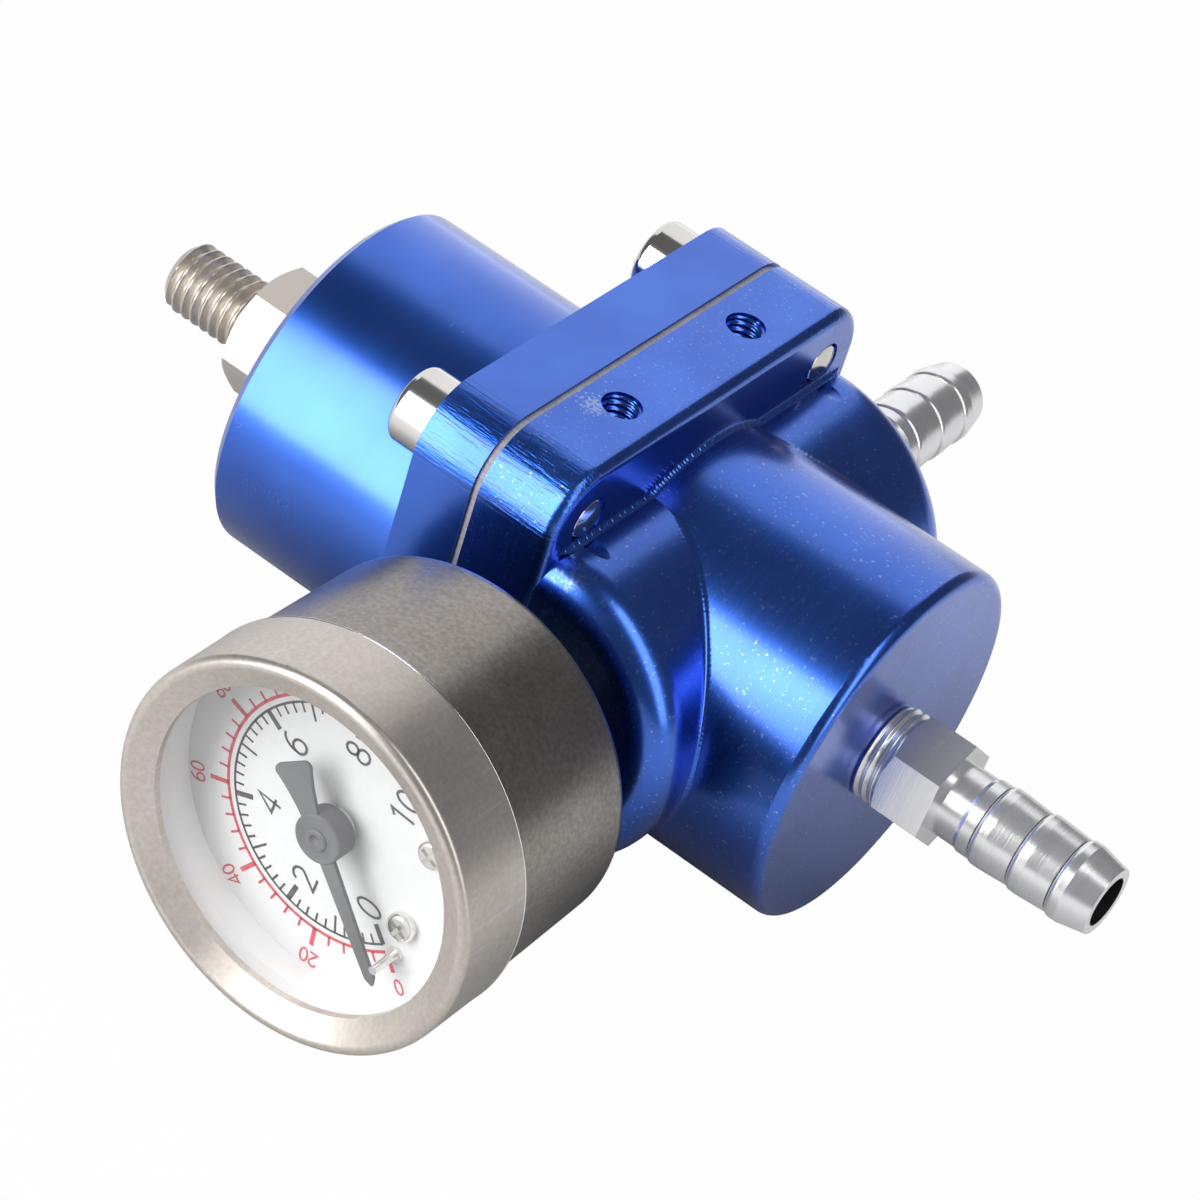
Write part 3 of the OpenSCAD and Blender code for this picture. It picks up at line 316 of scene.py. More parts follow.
def dial_points(u, v, lift):
    """Dial coordinates (u down the dial, v to its right) as points lying lift in front of the dial's face."""
    c, s = np.cos(GAUGE_TURN), np.sin(GAUGE_TURN)
    return np.stack([CROSS_X + u * c + v * s, np.full_like(u, DIAL_FRONT_Y - lift), AXIS_Z - u * s + v * c], -1)


def polar_dial(radius, degrees):
    """Points of the print at a radius and an angle, clockwise from the dial's top."""
    a = np.radians(degrees)
    return dial_points(-radius * np.cos(a), radius * np.sin(a), PRINT_LIFT)


def scale_arc(radius, width):
    """Ring segment over the whole scale: two rows of points, at radius plus and minus half the width."""
    count = 181
    degrees = ZERO_ANGLE + np.linspace(0, SCALE_SPAN, count)
    points = np.stack([polar_dial(np.full_like(degrees, radius + k * width / 2), degrees) for k in (-1, 1)])
    return points.reshape(-1, 3), grid_faces(2, count)


def scale_ticks(shares, r0, r1, width):
    """Radial bars from r0 to r1 at shares of the scale, each a rectangle of the given width."""
    degrees = ZERO_ANGLE + SCALE_SPAN * np.asarray(shares, float)[:, None]
    a = np.radians(degrees)
    r = np.array([r0, r1, r1, r0]) + 0 * degrees
    w = np.array([-1, -1, 1, 1]) * width / 2 + 0 * degrees
    u = -r * np.cos(a) + w * np.sin(a)
    v = r * np.sin(a) + w * np.cos(a)
    return dial_points(u, v, PRINT_LIFT).reshape(-1, 3), np.arange(4 * len(shares)).reshape(-1, 4)


def loop(cx, cy, rx, ry, a0=0, a1=360, n=33):
    """Elliptic arc in the unit cell of a digit, angles counted anticlockwise from the right."""
    a = np.radians(np.linspace(a0, a1, n))
    return np.stack([cx + rx * np.cos(a), cy + ry * np.sin(a)], 1)


# Plain figures as strokes in a cell one unit high, centred on x = 0
FIGURE_STROKES = {
    "0": [loop(0, 0.5, 0.27, 0.5)],
    "1": [np.array([[-0.2, 0.8], [0.04, 1.0], [0.04, 0.0]])],
    "2": [np.vstack([loop(0, 0.73, 0.26, 0.27, 170, -38, 20), [[-0.29, 0.0], [0.3, 0.0]]])],
    "4": [np.array([[0.13, 0.0], [0.13, 1.0], [-0.31, 0.27], [0.32, 0.27]])],
    "6": [np.vstack([loop(0.16, 0.36, 0.43, 0.64, 88, 172, 14), loop(0, 0.29, 0.27, 0.29, 170, 530, 30)])],
    "8": [loop(0, 0.755, 0.215, 0.245), loop(0, 0.26, 0.27, 0.26)],
}


def stroke_ribbon(path, width):
    """Flat ribbon of the given width along a path, with mitred bends: two rows of points either side of it."""
    step = np.diff(path, axis=0)
    step /= np.linalg.norm(step, axis=1, keepdims=True)
    before, after = np.vstack([step[:1], step]), np.vstack([step, step[-1:]])
    if np.allclose(path[0], path[-1]):
        before[0], after[-1] = step[-1], step[0]
    mean = before + after
    mean /= np.linalg.norm(mean, axis=1, keepdims=True)
    least_cosine = 0.45
    stretch = 1 / np.maximum(np.sum(mean * after, 1, keepdims=True), least_cosine)
    side = np.stack([-mean[:, 1], mean[:, 0]], 1) * stretch * width / 2
    return np.stack([path - side, path + side])


def scale_label(figures, degrees, radius, height, stroke, turn):
    """Number printed with its middle at a radius and an angle of the dial: the strokes of its figures, laid side
    by side and turned clockwise by an angle."""
    a, b = np.radians(degrees), np.radians(turn)
    points, faces, count = [], [], 0
    shift = (np.arange(len(figures)) - (len(figures) - 1) / 2) * FIGURE_SPACING
    for figure, dx in zip(figures, shift):
        for path in FIGURE_STROKES[figure]:
            ribbon = stroke_ribbon(path + [dx, -0.5], stroke / height) * height
            across, up = ribbon[..., 0], ribbon[..., 1]
            u = -radius * np.cos(a) - up * np.cos(b) + across * np.sin(b)
            v = radius * np.sin(a) + up * np.sin(b) + across * np.cos(b)
            points.append(dial_points(u, v, PRINT_LIFT).reshape(-1, 3))
            faces.append(grid_faces(2, len(path)) + count)
            count += 2 * len(path)
    return np.vstack(points), np.vstack(faces)


def dial_print(name, parts, material):
    """One flat printed layer made of arcs, bars and figures, every face turned to the front."""
    offsets = np.cumsum([0] + [len(p) for p, _ in parts[:-1]])
    points = np.vstack([p for p, _ in parts])
    faces = np.vstack([f + k for (_, f), k in zip(parts, offsets)])
    corner = points[faces]
    normal = np.cross(corner[:, 1] - corner[:, 0], corner[:, 3] - corner[:, 0])
    faces = np.where((normal[:, 1] > 0)[:, None], faces[:, ::-1], faces)
    piece = mesh_piece(name, points, faces)
    return dress(piece, "root", "dial_white", material)


# Middle of each upright number of the inner scale: angle clockwise from the top, and radius in millimetres
UPRIGHT_NUMBERS = {"0": (225.8, 8.7), "2": (278.0, 8.8), "4": (333.0, 8.5), "6": (32.0, 8.6), "8": (83.5, 8.9),
                   "10": (128.0, 9.0)}


def black_scale(material):
    """Inner scale from 0 to 10: an arc, long bars at even numbers, thin long bars at odd ones and short bars, with
    upright numbers."""
    r, marks = 12.5 * MM, np.arange(51)
    parts = [scale_arc(r, 0.26 * MM),
             scale_ticks(np.arange(6) / 5, r - 2.1 * MM, r, 0.58 * MM),
             scale_ticks((np.arange(5) + 0.5) / 5, r - 2.0 * MM, r, 0.26 * MM),
             scale_ticks(marks[marks % 5 != 0] / 50, r - 1.08 * MM, r, 0.24 * MM)]
    parts += [scale_label(number, degrees, radius * MM, 2.75 * MM, 0.3 * MM, 0)
              for number, (degrees, radius) in UPRIGHT_NUMBERS.items()]
    return dial_print("black_scale", parts, material)


def red_scale(material):
    """Outer scale from 0 to 145: an arc, long bars every 20 and short bars every 4, with numbers that stand with
    their feet to the centre."""
    r, marks = 13.3 * MM, np.arange(37)
    parts = [scale_arc(r, 0.34 * MM),
             scale_ticks(20 * np.arange(8) / RED_FULL, r, r + 2.2 * MM, 0.5 * MM),
             scale_ticks(4 * marks[marks % 5 != 0] / RED_FULL, r, r + 1.1 * MM, 0.26 * MM)]
    for number in range(0, RED_FULL, 20):
        degrees = ZERO_ANGLE + SCALE_SPAN * number / RED_FULL
        parts.append(scale_label(str(number), degrees, 17.05 * MM, 1.55 * MM, 0.22 * MM, degrees))
    return dial_print("red_scale", parts, material)


# Shader helpers

def put(tree, kind, values=None, **options):
    """Adds a node; each value is either linked from a socket or set on the input of that name or number."""
    node = tree.nodes.new(kind)
    for key, value in options.items():
        setattr(node, key, value)
    for key, value in (values or {}).items():
        if isinstance(value, bpy.types.NodeSocket):
            tree.links.new(value, node.inputs[key])
        else:
            node.inputs[key].default_value = value
    return node


def calc(tree, operation, a, b=0.0, clamp=False):
    """Result of a math node on one or two values."""
    return put(tree, "ShaderNodeMath", {0: a, 1: b}, operation=operation, use_clamp=clamp).outputs[0]


def part_place(tree):
    """Place of the shaded point in the part's frame."""
    return put(tree, "ShaderNodeTexCoord").outputs["Object"]


def vector(tree, operation, a, b=(0, 0, 0), output=0):
    """Result of a vector math node, by the number or name of its output."""
    return put(tree, "ShaderNodeVectorMath", {0: a, 1: b}, operation=operation).outputs[output]


def tint(tree, share, a, b):
    """Colour that goes from a to b with the share."""
    return put(tree, "ShaderNodeMix", {0: share, 6: a, 7: b}, data_type="RGBA").outputs[2]


def spread(tree, value, low, high, to_low=0.0, to_high=1.0):
    """Smooth step of a value from one range to another."""
    node = put(tree, "ShaderNodeMapRange", {"Value": value, "From Min": low, "From Max": high, "To Min": to_low,
                                            "To Max": to_high}, interpolation_type="SMOOTHSTEP")
    return node.outputs["Result"]


def new_group(name, inputs, outputs):
    """Empty shader group with named inputs (name, kind, start value) and outputs (name, kind)."""
    tree = bpy.data.node_groups.new(name, "ShaderNodeTree")
    for label, kind, start in inputs:
        socket = tree.interface.new_socket(label, in_out="INPUT", socket_type="NodeSocket" + kind)
        socket.default_value = start
    for label, kind in outputs:
        tree.interface.new_socket(label, in_out="OUTPUT", socket_type="NodeSocket" + kind)
    return tree, tree.nodes.new("NodeGroupInput").outputs, tree.nodes.new("NodeGroupOutput").inputs


def grain_group():
    """Fine cloudy grain of a blasted or plated surface: noise of two sizes, one far broader than the other."""
    t, given, out = new_group("metal_grain", [("Scale", "Float", 900.0)], [("Fine", "Float"), ("Cloud", "Float")])
    place = part_place(t)
    fine = put(t, "ShaderNodeTexNoise", {"Vector": place, "Scale": given["Scale"], "Detail": 4.0, "Roughness": 0.65})
    broad = put(t, "ShaderNodeTexNoise", {"Vector": place, "Scale": calc(t, "MULTIPLY", given["Scale"], 0.06),
                                          "Detail": 2.0})
    t.links.new(fine.outputs["Fac"], out["Fine"])
    t.links.new(broad.outputs["Fac"], out["Cloud"])
    return t


def tool_rings_group():
    """Rings that a lathe tool leaves: noise that changes only along the turning axis."""
    t, given, out = new_group("tool_rings", [("Axis", "Vector", (1, 0, 0)), ("Density", "Float", 4000.0)],
                              [("Rings", "Float"), ("Bands", "Float")])
    place = part_place(t)
    along = vector(t, "DOT_PRODUCT", place, given["Axis"], "Value")
    fine = put(t, "ShaderNodeTexNoise", {"W": calc(t, "MULTIPLY", along, given["Density"]), "Scale": 1.0,
                                         "Detail": 3.0}, noise_dimensions="1D")
    broad = put(t, "ShaderNodeTexNoise", {"W": calc(t, "MULTIPLY", along, calc(t, "MULTIPLY", given["Density"], 0.12)),
                                          "Scale": 1.0, "Detail": 1.0}, noise_dimensions="1D")
    t.links.new(fine.outputs["Fac"], out["Rings"])
    t.links.new(broad.outputs["Fac"], out["Bands"])
    return t


def brush_group():
    """Brushed lines: noise stretched along the brushing direction by a scale for each axis."""
    t, given, out = new_group("brush_lines", [("Stretch", "Vector", (1, 1, 1))], [("Lines", "Float")])
    place = part_place(t)
    scaled = vector(t, "MULTIPLY", place, given["Stretch"])
    noise = put(t, "ShaderNodeTexNoise", {"Vector": scaled, "Scale": 1.0, "Detail": 3.0, "Roughness": 0.6})
    t.links.new(noise.outputs["Fac"], out["Lines"])
    return t


def specks_group():
    """Dust and nicks: small dots at some of the random cell points, and short thin scratches where stretched
    noise crosses its middle inside scattered patches."""
    t, given, out = new_group("specks_and_nicks", [("Scale", "Float", 260.0)],
                              [("Specks", "Float"), ("Nicks", "Float")])
    place = part_place(t)
    cells = put(t, "ShaderNodeTexVoronoi", {"Vector": place, "Scale": given["Scale"]})
    near = spread(t, cells.outputs["Distance"], 0.02, 0.012)
    lucky = spread(t, put(t, "ShaderNodeSeparateColor", {0: cells.outputs["Color"]}).outputs[0], 0.984, 0.99)
    t.links.new(calc(t, "MULTIPLY", near, lucky), out["Specks"])
    turned = put(t, "ShaderNodeMapping", {"Vector": place, "Rotation": (0.5, 0.7, 0.4), "Scale": (1400, 130, 1400)})
    hair = put(t, "ShaderNodeTexNoise", {"Vector": turned.outputs[0], "Scale": 1.0, "Detail": 0.0}).outputs["Fac"]
    line = spread(t, calc(t, "ABSOLUTE", calc(t, "SUBTRACT", hair, 0.5)), 0.012, 0.004)
    patch = spread(t, put(t, "ShaderNodeTexNoise", {"Vector": place, "Scale": 160.0}).outputs["Fac"], 0.66, 0.72)
    t.links.new(calc(t, "MULTIPLY", line, patch), out["Nicks"])
    return t


def milled_group():
    """Cutter marks of the flanges, found by place: fine streaks up the two flat sides, and chatter lines along the
    corners, where both distances from the main axis pass the start of the rounding."""
    side_start, side_end, blend = 26.2 * MM, 26.4 * MM, 0.4 * MM
    t, given, out = new_group("flange_mill_marks", [("Corner", "Float", 20.2 * MM)],
                              [("Streaks", "Float"), ("Chatter", "Float")])
    place = part_place(t)
    axes = put(t, "ShaderNodeSeparateXYZ", {0: place}).outputs
    across = calc(t, "ABSOLUTE", axes["Y"])
    up = calc(t, "ABSOLUTE", calc(t, "SUBTRACT", axes["Z"], AXIS_Z))
    out_y = spread(t, calc(t, "SUBTRACT", across, given["Corner"]), 0.0, blend)
    out_z = spread(t, calc(t, "SUBTRACT", up, given["Corner"]), 0.0, blend)
    on_side = spread(t, across, side_start, side_end)
    up_lines = vector(t, "MULTIPLY", place, (2200, 2200, 70))
    streak = put(t, "ShaderNodeTexNoise", {"Vector": up_lines, "Scale": 1.0, "Detail": 2.0}).outputs["Fac"]
    along_lines = vector(t, "MULTIPLY", place, (420, 3400, 3400))
    rattle = put(t, "ShaderNodeTexNoise", {"Vector": along_lines, "Scale": 1.0, "Detail": 2.0}).outputs["Fac"]
    t.links.new(calc(t, "MULTIPLY", streak, on_side), out["Streaks"])
    t.links.new(calc(t, "MULTIPLY", rattle, calc(t, "MULTIPLY", out_y, out_z)), out["Chatter"])
    return t


def worn_group():
    """Worn patch: grainy spots that thin out with the distance from the patch's middle."""
    t, given, out = new_group("worn_patch", [("Middle", "Vector", (0, 0, 0)), ("Reach", "Float", 2 * MM)],
                              [("Mask", "Float")])
    place = part_place(t)
    away = vector(t, "DISTANCE", place, given["Middle"], "Value")
    share = calc(t, "SUBTRACT", 1.0, calc(t, "DIVIDE", away, given["Reach"]), True)
    noise = put(t, "ShaderNodeTexNoise", {"Vector": place, "Scale": 2600.0, "Detail": 3.0}).outputs["Fac"]
    t.links.new(spread(t, calc(t, "ADD", noise, calc(t, "MULTIPLY", share, 0.3)), 0.62, 0.74), out["Mask"])
    return t


GRAIN, RINGS, BRUSH, SPECKS = grain_group(), tool_rings_group(), brush_group(), specks_group()
MILLED, WORN = milled_group(), worn_group()


def use(tree, group, **values):
    """Places a shared group in a material with its own values."""
    return put(tree, "ShaderNodeGroup", values, node_tree=group).outputs


def finish(name, **sockets):
    """New material with one Principled BSDF, its plain values set on the shader's own sockets."""
    material = bpy.data.materials.new(name)
    material.use_nodes = True
    tree = material.node_tree
    shader = tree.nodes["Principled BSDF"]
    for label, value in sockets.items():
        shader.inputs[label.replace("_", " ").title().replace("Ior", "IOR")].default_value = value
    return material, tree, shader


def bump(tree, height, strength, distance):
    """Normal of a surface raised by a height."""
    return put(tree, "ShaderNodeBump", {"Height": height, "Strength": strength, "Distance": distance}).outputs[0]


# Finishes

def blue_anodised(name, rough, patches=()):
    """Deep blue anodised aluminium: a blue metal under a clear oxide film, with turning bands along the main axis in
    its gloss, streaks on the flanges' milled sides, chatter on their corners, dust specks, pale nicks and worn
    patches, each given by its middle, its reach and how pale it is."""
    m, t, shader = finish(name, metallic=1.0, coat_weight=1.0, coat_roughness=0.18, coat_ior=1.5)
    grain = use(t, GRAIN, Scale=1500.0)
    rings = use(t, RINGS, Axis=(1, 0, 0), Density=9000.0)
    milled = use(t, MILLED)
    specks = use(t, SPECKS, Scale=330.0)
    deep, bright = (0.022, 0.125, 0.64, 1), (0.036, 0.165, 0.76, 1)
    colour = tint(t, spread(t, grain["Cloud"], 0.3, 0.7), deep, bright)
    colour = tint(t, calc(t, "MULTIPLY", specks["Nicks"], 0.55), colour, (0.45, 0.55, 0.85, 1))
    colour = tint(t, calc(t, "MULTIPLY", specks["Specks"], 0.35), colour, (0.75, 0.8, 0.95, 1))
    marks = calc(t, "ADD", calc(t, "MULTIPLY", milled["Streaks"], 0.12), calc(t, "MULTIPLY", milled["Chatter"], 1.5))
    for middle, reach, pale in patches:
        worn = use(t, WORN, Middle=[c * MM for c in middle], Reach=reach * MM)
        colour = tint(t, calc(t, "MULTIPLY", worn["Mask"], pale), colour, (0.62, 0.70, 0.88, 1))
    t.links.new(colour, shader.inputs["Base Color"])
    t.links.new(calc(t, "ADD", spread(t, rings["Bands"], 0.3, 0.7, rough - 0.006, rough + 0.008),
                     calc(t, "MULTIPLY", specks["Specks"], 0.3)), shader.inputs["Roughness"])
    t.links.new(bump(t, marks, 1.0, MILLED_RELIEF), shader.inputs["Normal"])
    return m


def plated_metal(name, dark, light, rough, scale, metal=1.0):
    """Bright plated or turned metal: two close tones mixed by cloudy grain, with slight smears in the gloss. A
    dull plating is given as a smaller share of metal."""
    m, t, shader = finish(name, metallic=metal)
    grain = use(t, GRAIN, Scale=scale)
    specks = use(t, SPECKS, Scale=500.0)
    colour = tint(t, spread(t, grain["Cloud"], 0.3, 0.7), dark, light)
    colour = tint(t, calc(t, "MULTIPLY", specks["Nicks"], 0.4), colour, (0.35, 0.34, 0.33, 1))
    t.links.new(colour, shader.inputs["Base Color"])
    t.links.new(spread(t, grain["Cloud"], 0.25, 0.75, rough * 0.7, rough * 1.4), shader.inputs["Roughness"])
    t.links.new(bump(t, grain["Fine"], 0.12, FINE_RELIEF), shader.inputs["Normal"])
    return m


def turned_aluminium(name, axis, bore_r):
    """Bright turned aluminium of the hose barbs: a satin oxide over the metal, fine rings round the barb's axis
    and soft smears. The bore, found by its radius from the axis, is painted near black as painted shade of its depth."""
    m, t, shader = finish(name, metallic=0.8)
    grain = use(t, GRAIN, Scale=1200.0)
    rings = use(t, RINGS, Axis=axis, Density=5200.0)
    colour = tint(t, spread(t, grain["Cloud"], 0.3, 0.7), (0.95, 0.95, 0.955, 1), (0.99, 0.99, 0.995, 1))
    place = part_place(t)
    from_axis = vector(t, "CROSS_PRODUCT", vector(t, "SUBTRACT", place, (CROSS_X, 0, AXIS_Z)), axis)
    away = vector(t, "LENGTH", from_axis, output="Value")
    # Painted shade: inside the bore's radius the colour goes near black, standing for the shade deep in the bore.
    colour = tint(t, spread(t, away, bore_r + 0.14 * MM, bore_r + 0.06 * MM), colour, (0.10, 0.10, 0.105, 1))
    t.links.new(colour, shader.inputs["Base Color"])
    t.links.new(calc(t, "ADD", spread(t, grain["Cloud"], 0.3, 0.7, 0.20, 0.24),
                     calc(t, "MULTIPLY", rings["Bands"], 0.08)), shader.inputs["Roughness"])
    t.links.new(bump(t, calc(t, "ADD", rings["Rings"], calc(t, "MULTIPLY", grain["Fine"], 0.2)), 0.3, FINE_RELIEF),
                shader.inputs["Normal"])
    return m


def satin_case():
    """Satin stainless steel of the gauge's case: a warm grey, mottled by handling, with a few nicks."""
    m, t, shader = finish("satin_steel_case", metallic=1.0)
    grain = use(t, GRAIN, Scale=1900.0)
    specks = use(t, SPECKS, Scale=420.0)
    colour = tint(t, spread(t, grain["Fine"], 0.3, 0.7), (0.30, 0.275, 0.25, 1), (0.41, 0.38, 0.35, 1))
    colour = tint(t, calc(t, "MULTIPLY", specks["Nicks"], 0.5), colour, (0.85, 0.82, 0.78, 1))
    t.links.new(colour, shader.inputs["Base Color"])
    t.links.new(spread(t, grain["Cloud"], 0.3, 0.7, 0.28, 0.36), shader.inputs["Roughness"])
    t.links.new(bump(t, grain["Fine"], 0.15, FINE_RELIEF), shader.inputs["Normal"])
    return m


def satin_bezel():
    """Satin stainless steel of the bezel: paler than the case, smooth on the lip and brushed along the gauge's
    axis on the skirt, which is found by its distance behind the lip."""
    m, t, shader = finish("satin_steel_bezel", metallic=0.85)
    grain = use(t, GRAIN, Scale=1900.0)
    lines = use(t, BRUSH, Stretch=(2600, 60, 2600))
    depth = put(t, "ShaderNodeSeparateXYZ", {0: part_place(t)}).outputs["Y"]
    skirt = spread(t, depth, -59.4 * MM, -58.8 * MM)
    colour = tint(t, spread(t, grain["Fine"], 0.3, 0.7), (0.62, 0.57, 0.52, 1), (0.71, 0.66, 0.60, 1))
    colour = tint(t, calc(t, "MULTIPLY", spread(t, lines["Lines"], 0.55, 0.75), calc(t, "MULTIPLY", skirt, 0.45)),
                  colour, (0.88, 0.84, 0.79, 1))
    t.links.new(colour, shader.inputs["Base Color"])
    t.links.new(spread(t, grain["Cloud"], 0.3, 0.7, 0.33, 0.40), shader.inputs["Roughness"])
    height = calc(t, "ADD", calc(t, "MULTIPLY", grain["Fine"], 0.4), calc(t, "MULTIPLY", lines["Lines"], skirt))
    t.links.new(bump(t, height, 0.35, FINE_RELIEF), shader.inputs["Normal"])
    return m


def white_paint(name, low, high, rough):
    """White enamel or moulding: slightly uneven tone and a faint orange-peel bump."""
    m, t, shader = finish(name, roughness=rough)
    grain = use(t, GRAIN, Scale=700.0)
    t.links.new(tint(t, spread(t, grain["Cloud"], 0.3, 0.7), (low, low, low * 1.004, 1), (high, high, high, 1)),
                shader.inputs["Base Color"])
    t.links.new(bump(t, grain["Fine"], 0.05, FINE_RELIEF), shader.inputs["Normal"])
    return m


def printing_ink(name, full, thin):
    """Screen printed ink, thinner and paler in small patches."""
    m, t, shader = finish(name, roughness=0.5)
    grain = use(t, GRAIN, Scale=2600.0)
    t.links.new(tint(t, spread(t, grain["Fine"], 0.45, 0.75), full, thin), shader.inputs["Base Color"])
    return m


def pointer_paint():
    """Matt grey paint on the pointer, a little uneven."""
    m, t, shader = finish("pointer_paint", roughness=0.5, specular_ior_level=0.4)
    grain = use(t, GRAIN, Scale=1500.0)
    t.links.new(tint(t, spread(t, grain["Cloud"], 0.3, 0.7), (0.105, 0.105, 0.113, 1), (0.14, 0.14, 0.148, 1)),
                shader.inputs["Base Color"])
    t.links.new(bump(t, grain["Fine"], 0.1, FINE_RELIEF), shader.inputs["Normal"])
    return m


def window_glass():
    """Clear gauge window: a smooth glass that lets light straight through to the dial, with a faint haze of
    wiping marks in its gloss."""
    m, t, shader = finish("window_glass", base_color=(0.985, 0.99, 0.99, 1), transmission_weight=1.0, ior=1.46)
    wipe = use(t, BRUSH, Stretch=(300, 300, 1600))
    t.links.new(spread(t, wipe["Lines"], 0.4, 0.8, 0.0, 0.035), shader.inputs["Roughness"])
    rays = put(t, "ShaderNodeLightPath").outputs
    through = put(t, "ShaderNodeBsdfTransparent", {"Color": (0.97, 0.975, 0.975, 1)}).outputs[0]
    mix = put(t, "ShaderNodeMixShader", {0: rays["Is Shadow Ray"], 1: shader.outputs[0], 2: through})
    t.links.new(mix.outputs[0], t.nodes["Material Output"].inputs["Surface"])
    return m


def rubber():
    """Black moulded rubber with a fine dull grain."""
    m, t, shader = finish("moulded_rubber")
    grain = use(t, GRAIN, Scale=1300.0)
    t.links.new(tint(t, grain["Cloud"], (0.018, 0.018, 0.018, 1), (0.045, 0.045, 0.046, 1)),
                shader.inputs["Base Color"])
    t.links.new(spread(t, grain["Fine"], 0.3, 0.7, 0.55, 0.8), shader.inputs["Roughness"])
    t.links.new(bump(t, grain["Fine"], 0.4, WOVEN_RELIEF), shader.inputs["Normal"])
    return m


def diaphragm_sheet():
    """Cloth reinforced diaphragm: a pale lavender rubber with a faint woven check on its cut edge."""
    m, t, shader = finish("diaphragm_cloth", roughness=0.5)
    warp = use(t, BRUSH, Stretch=(300, 3500, 300))
    weft = use(t, BRUSH, Stretch=(300, 300, 3500))
    weave = calc(t, "MAXIMUM", warp["Lines"], weft["Lines"])
    t.links.new(tint(t, spread(t, weave, 0.4, 0.75), (0.42, 0.41, 0.46, 1), (0.60, 0.59, 0.65, 1)),
                shader.inputs["Base Color"])
    t.links.new(bump(t, weave, 0.3, WOVEN_RELIEF), shader.inputs["Normal"])
    return m


# Dressing the CAD nodes

# Worn patches of the body, by a bracket hole and on the gauge's boss: middle and reach in millimetres, and share
WORN_PATCHES = [((-1.7, -12.9, 0), 2.6, 0.35), ((7.5, -24.3, -9.8), 2.8, 0.12)]

BLUE_BODY = blue_anodised("blue_anodised_body", 0.27, WORN_PATCHES)
BLUE_HOUSING = blue_anodised("blue_anodised_housing", 0.29)
BLUE_CREASE = blue_anodised("blue_anodised_crease", 0.22)
NICKEL = plated_metal("nickel_plate", (0.74, 0.72, 0.69, 1), (0.84, 0.82, 0.79, 1), 0.15, 1100.0)
DULL_NICKEL = plated_metal("dull_nickel_plate", (0.64, 0.59, 0.52, 1), (0.76, 0.71, 0.64, 1), 0.40, 1100.0, 0.72)
ZINC = plated_metal("zinc_plate", (0.42, 0.42, 0.43, 1), (0.58, 0.58, 0.59, 1), 0.3, 800.0)
BRASS = plated_metal("machined_brass", (0.62, 0.45, 0.19, 1), (0.76, 0.58, 0.28, 1), 0.24, 900.0)
RETURN_ALUMINIUM = turned_aluminium("turned_aluminium_return", (1, 0, 0), BARB_BORE_R)
INLET_ALUMINIUM = turned_aluminium("turned_aluminium_inlet", (0, 1, 0), BARB_BORE_R)
VALVE_ALUMINIUM = turned_aluminium("turned_aluminium_valve", (1, 0, 0), VALVE_BORE_R)
STEEL_CASE, STEEL_BEZEL = satin_case(), satin_bezel()
DIAL, RING = white_paint("dial_enamel", 0.64, 0.68, 0.42), white_paint("white_ring", 0.80, 0.85, 0.3)
GLASS, RUBBER, SHEET, POINTER = window_glass(), rubber(), diaphragm_sheet(), pointer_paint()
BLACK_INK = printing_ink("black_dial_ink", (0.055, 0.055, 0.06, 1), (0.12, 0.12, 0.125, 1))
RED_INK = printing_ink("red_dial_ink", (0.55, 0.055, 0.085, 1), (0.66, 0.12, 0.14, 1))

DRESS = {
    "spring_housing": BLUE_HOUSING, "lower_body": BLUE_BODY, "diaphragm": SHEET, "cap_screws": NICKEL,
    "adjusting_screw": DULL_NICKEL, "lock_nut": DULL_NICKEL, "return_barb": RETURN_ALUMINIUM,
    "inlet_barb": INLET_ALUMINIUM, "main_spring": ZINC, "spring_cap": ZINC, "diaphragm_cup": ZINC,
    "valve_holder": VALVE_ALUMINIUM, "stem_nut": ZINC, "valve_pad": RUBBER, "valve_seat": BRASS, "gauge_socket": BRASS,
    "gauge_case": STEEL_CASE, "gauge_bezel": STEEL_BEZEL, "gauge_lens": GLASS, "lens_gasket": RING, "gauge_dial": DIAL,
    "dial_screws": NICKEL, "stop_pin": NICKEL, "pointer": POINTER, "pointer_arbor": ZINC, "sector_gear": BRASS,
    "hairspring": BRASS, "movement_front_plate": BRASS, "movement_back_plate": BRASS, "movement_pillars": BRASS,
    "bourdon_tube": BRASS, "tube_tip": BRASS, "tip_link": BRASS,
}
for node_name, material in DRESS.items():
    slots = nodes[node_name].data.materials
    slots.clear()
    slots.append(material)

adjusting_screw_surface(DULL_NICKEL)
for side, label in ((-1, "near"), (1, "far")):
    bracket_hole_thread("bracket_thread_" + label, side * BRACKET_HOLE_Y, BLUE_CREASE)
pipe_thread("return_pipe_thread", (RETURN_THREAD_X, 0, AXIS_Z), (1, 0, 0), PIPE_THREAD_LENGTH, PIPE_R,
            RETURN_ALUMINIUM)
pipe_thread("inlet_pipe_thread", (CROSS_X, INLET_THREAD_Y, AXIS_Z), (0, 1, 0), PIPE_THREAD_LENGTH, PIPE_R,
            INLET_ALUMINIUM)
for side in (-1, 1):
    flange_crease(side, BLUE_CREASE)
    boss_crease(side, BLUE_CREASE)
main_spring_coil(ZINC)
screw_ends(NICKEL)
bezel_edge(NICKEL)
black_scale(BLACK_INK)
red_scale(RED_INK)


# Studio

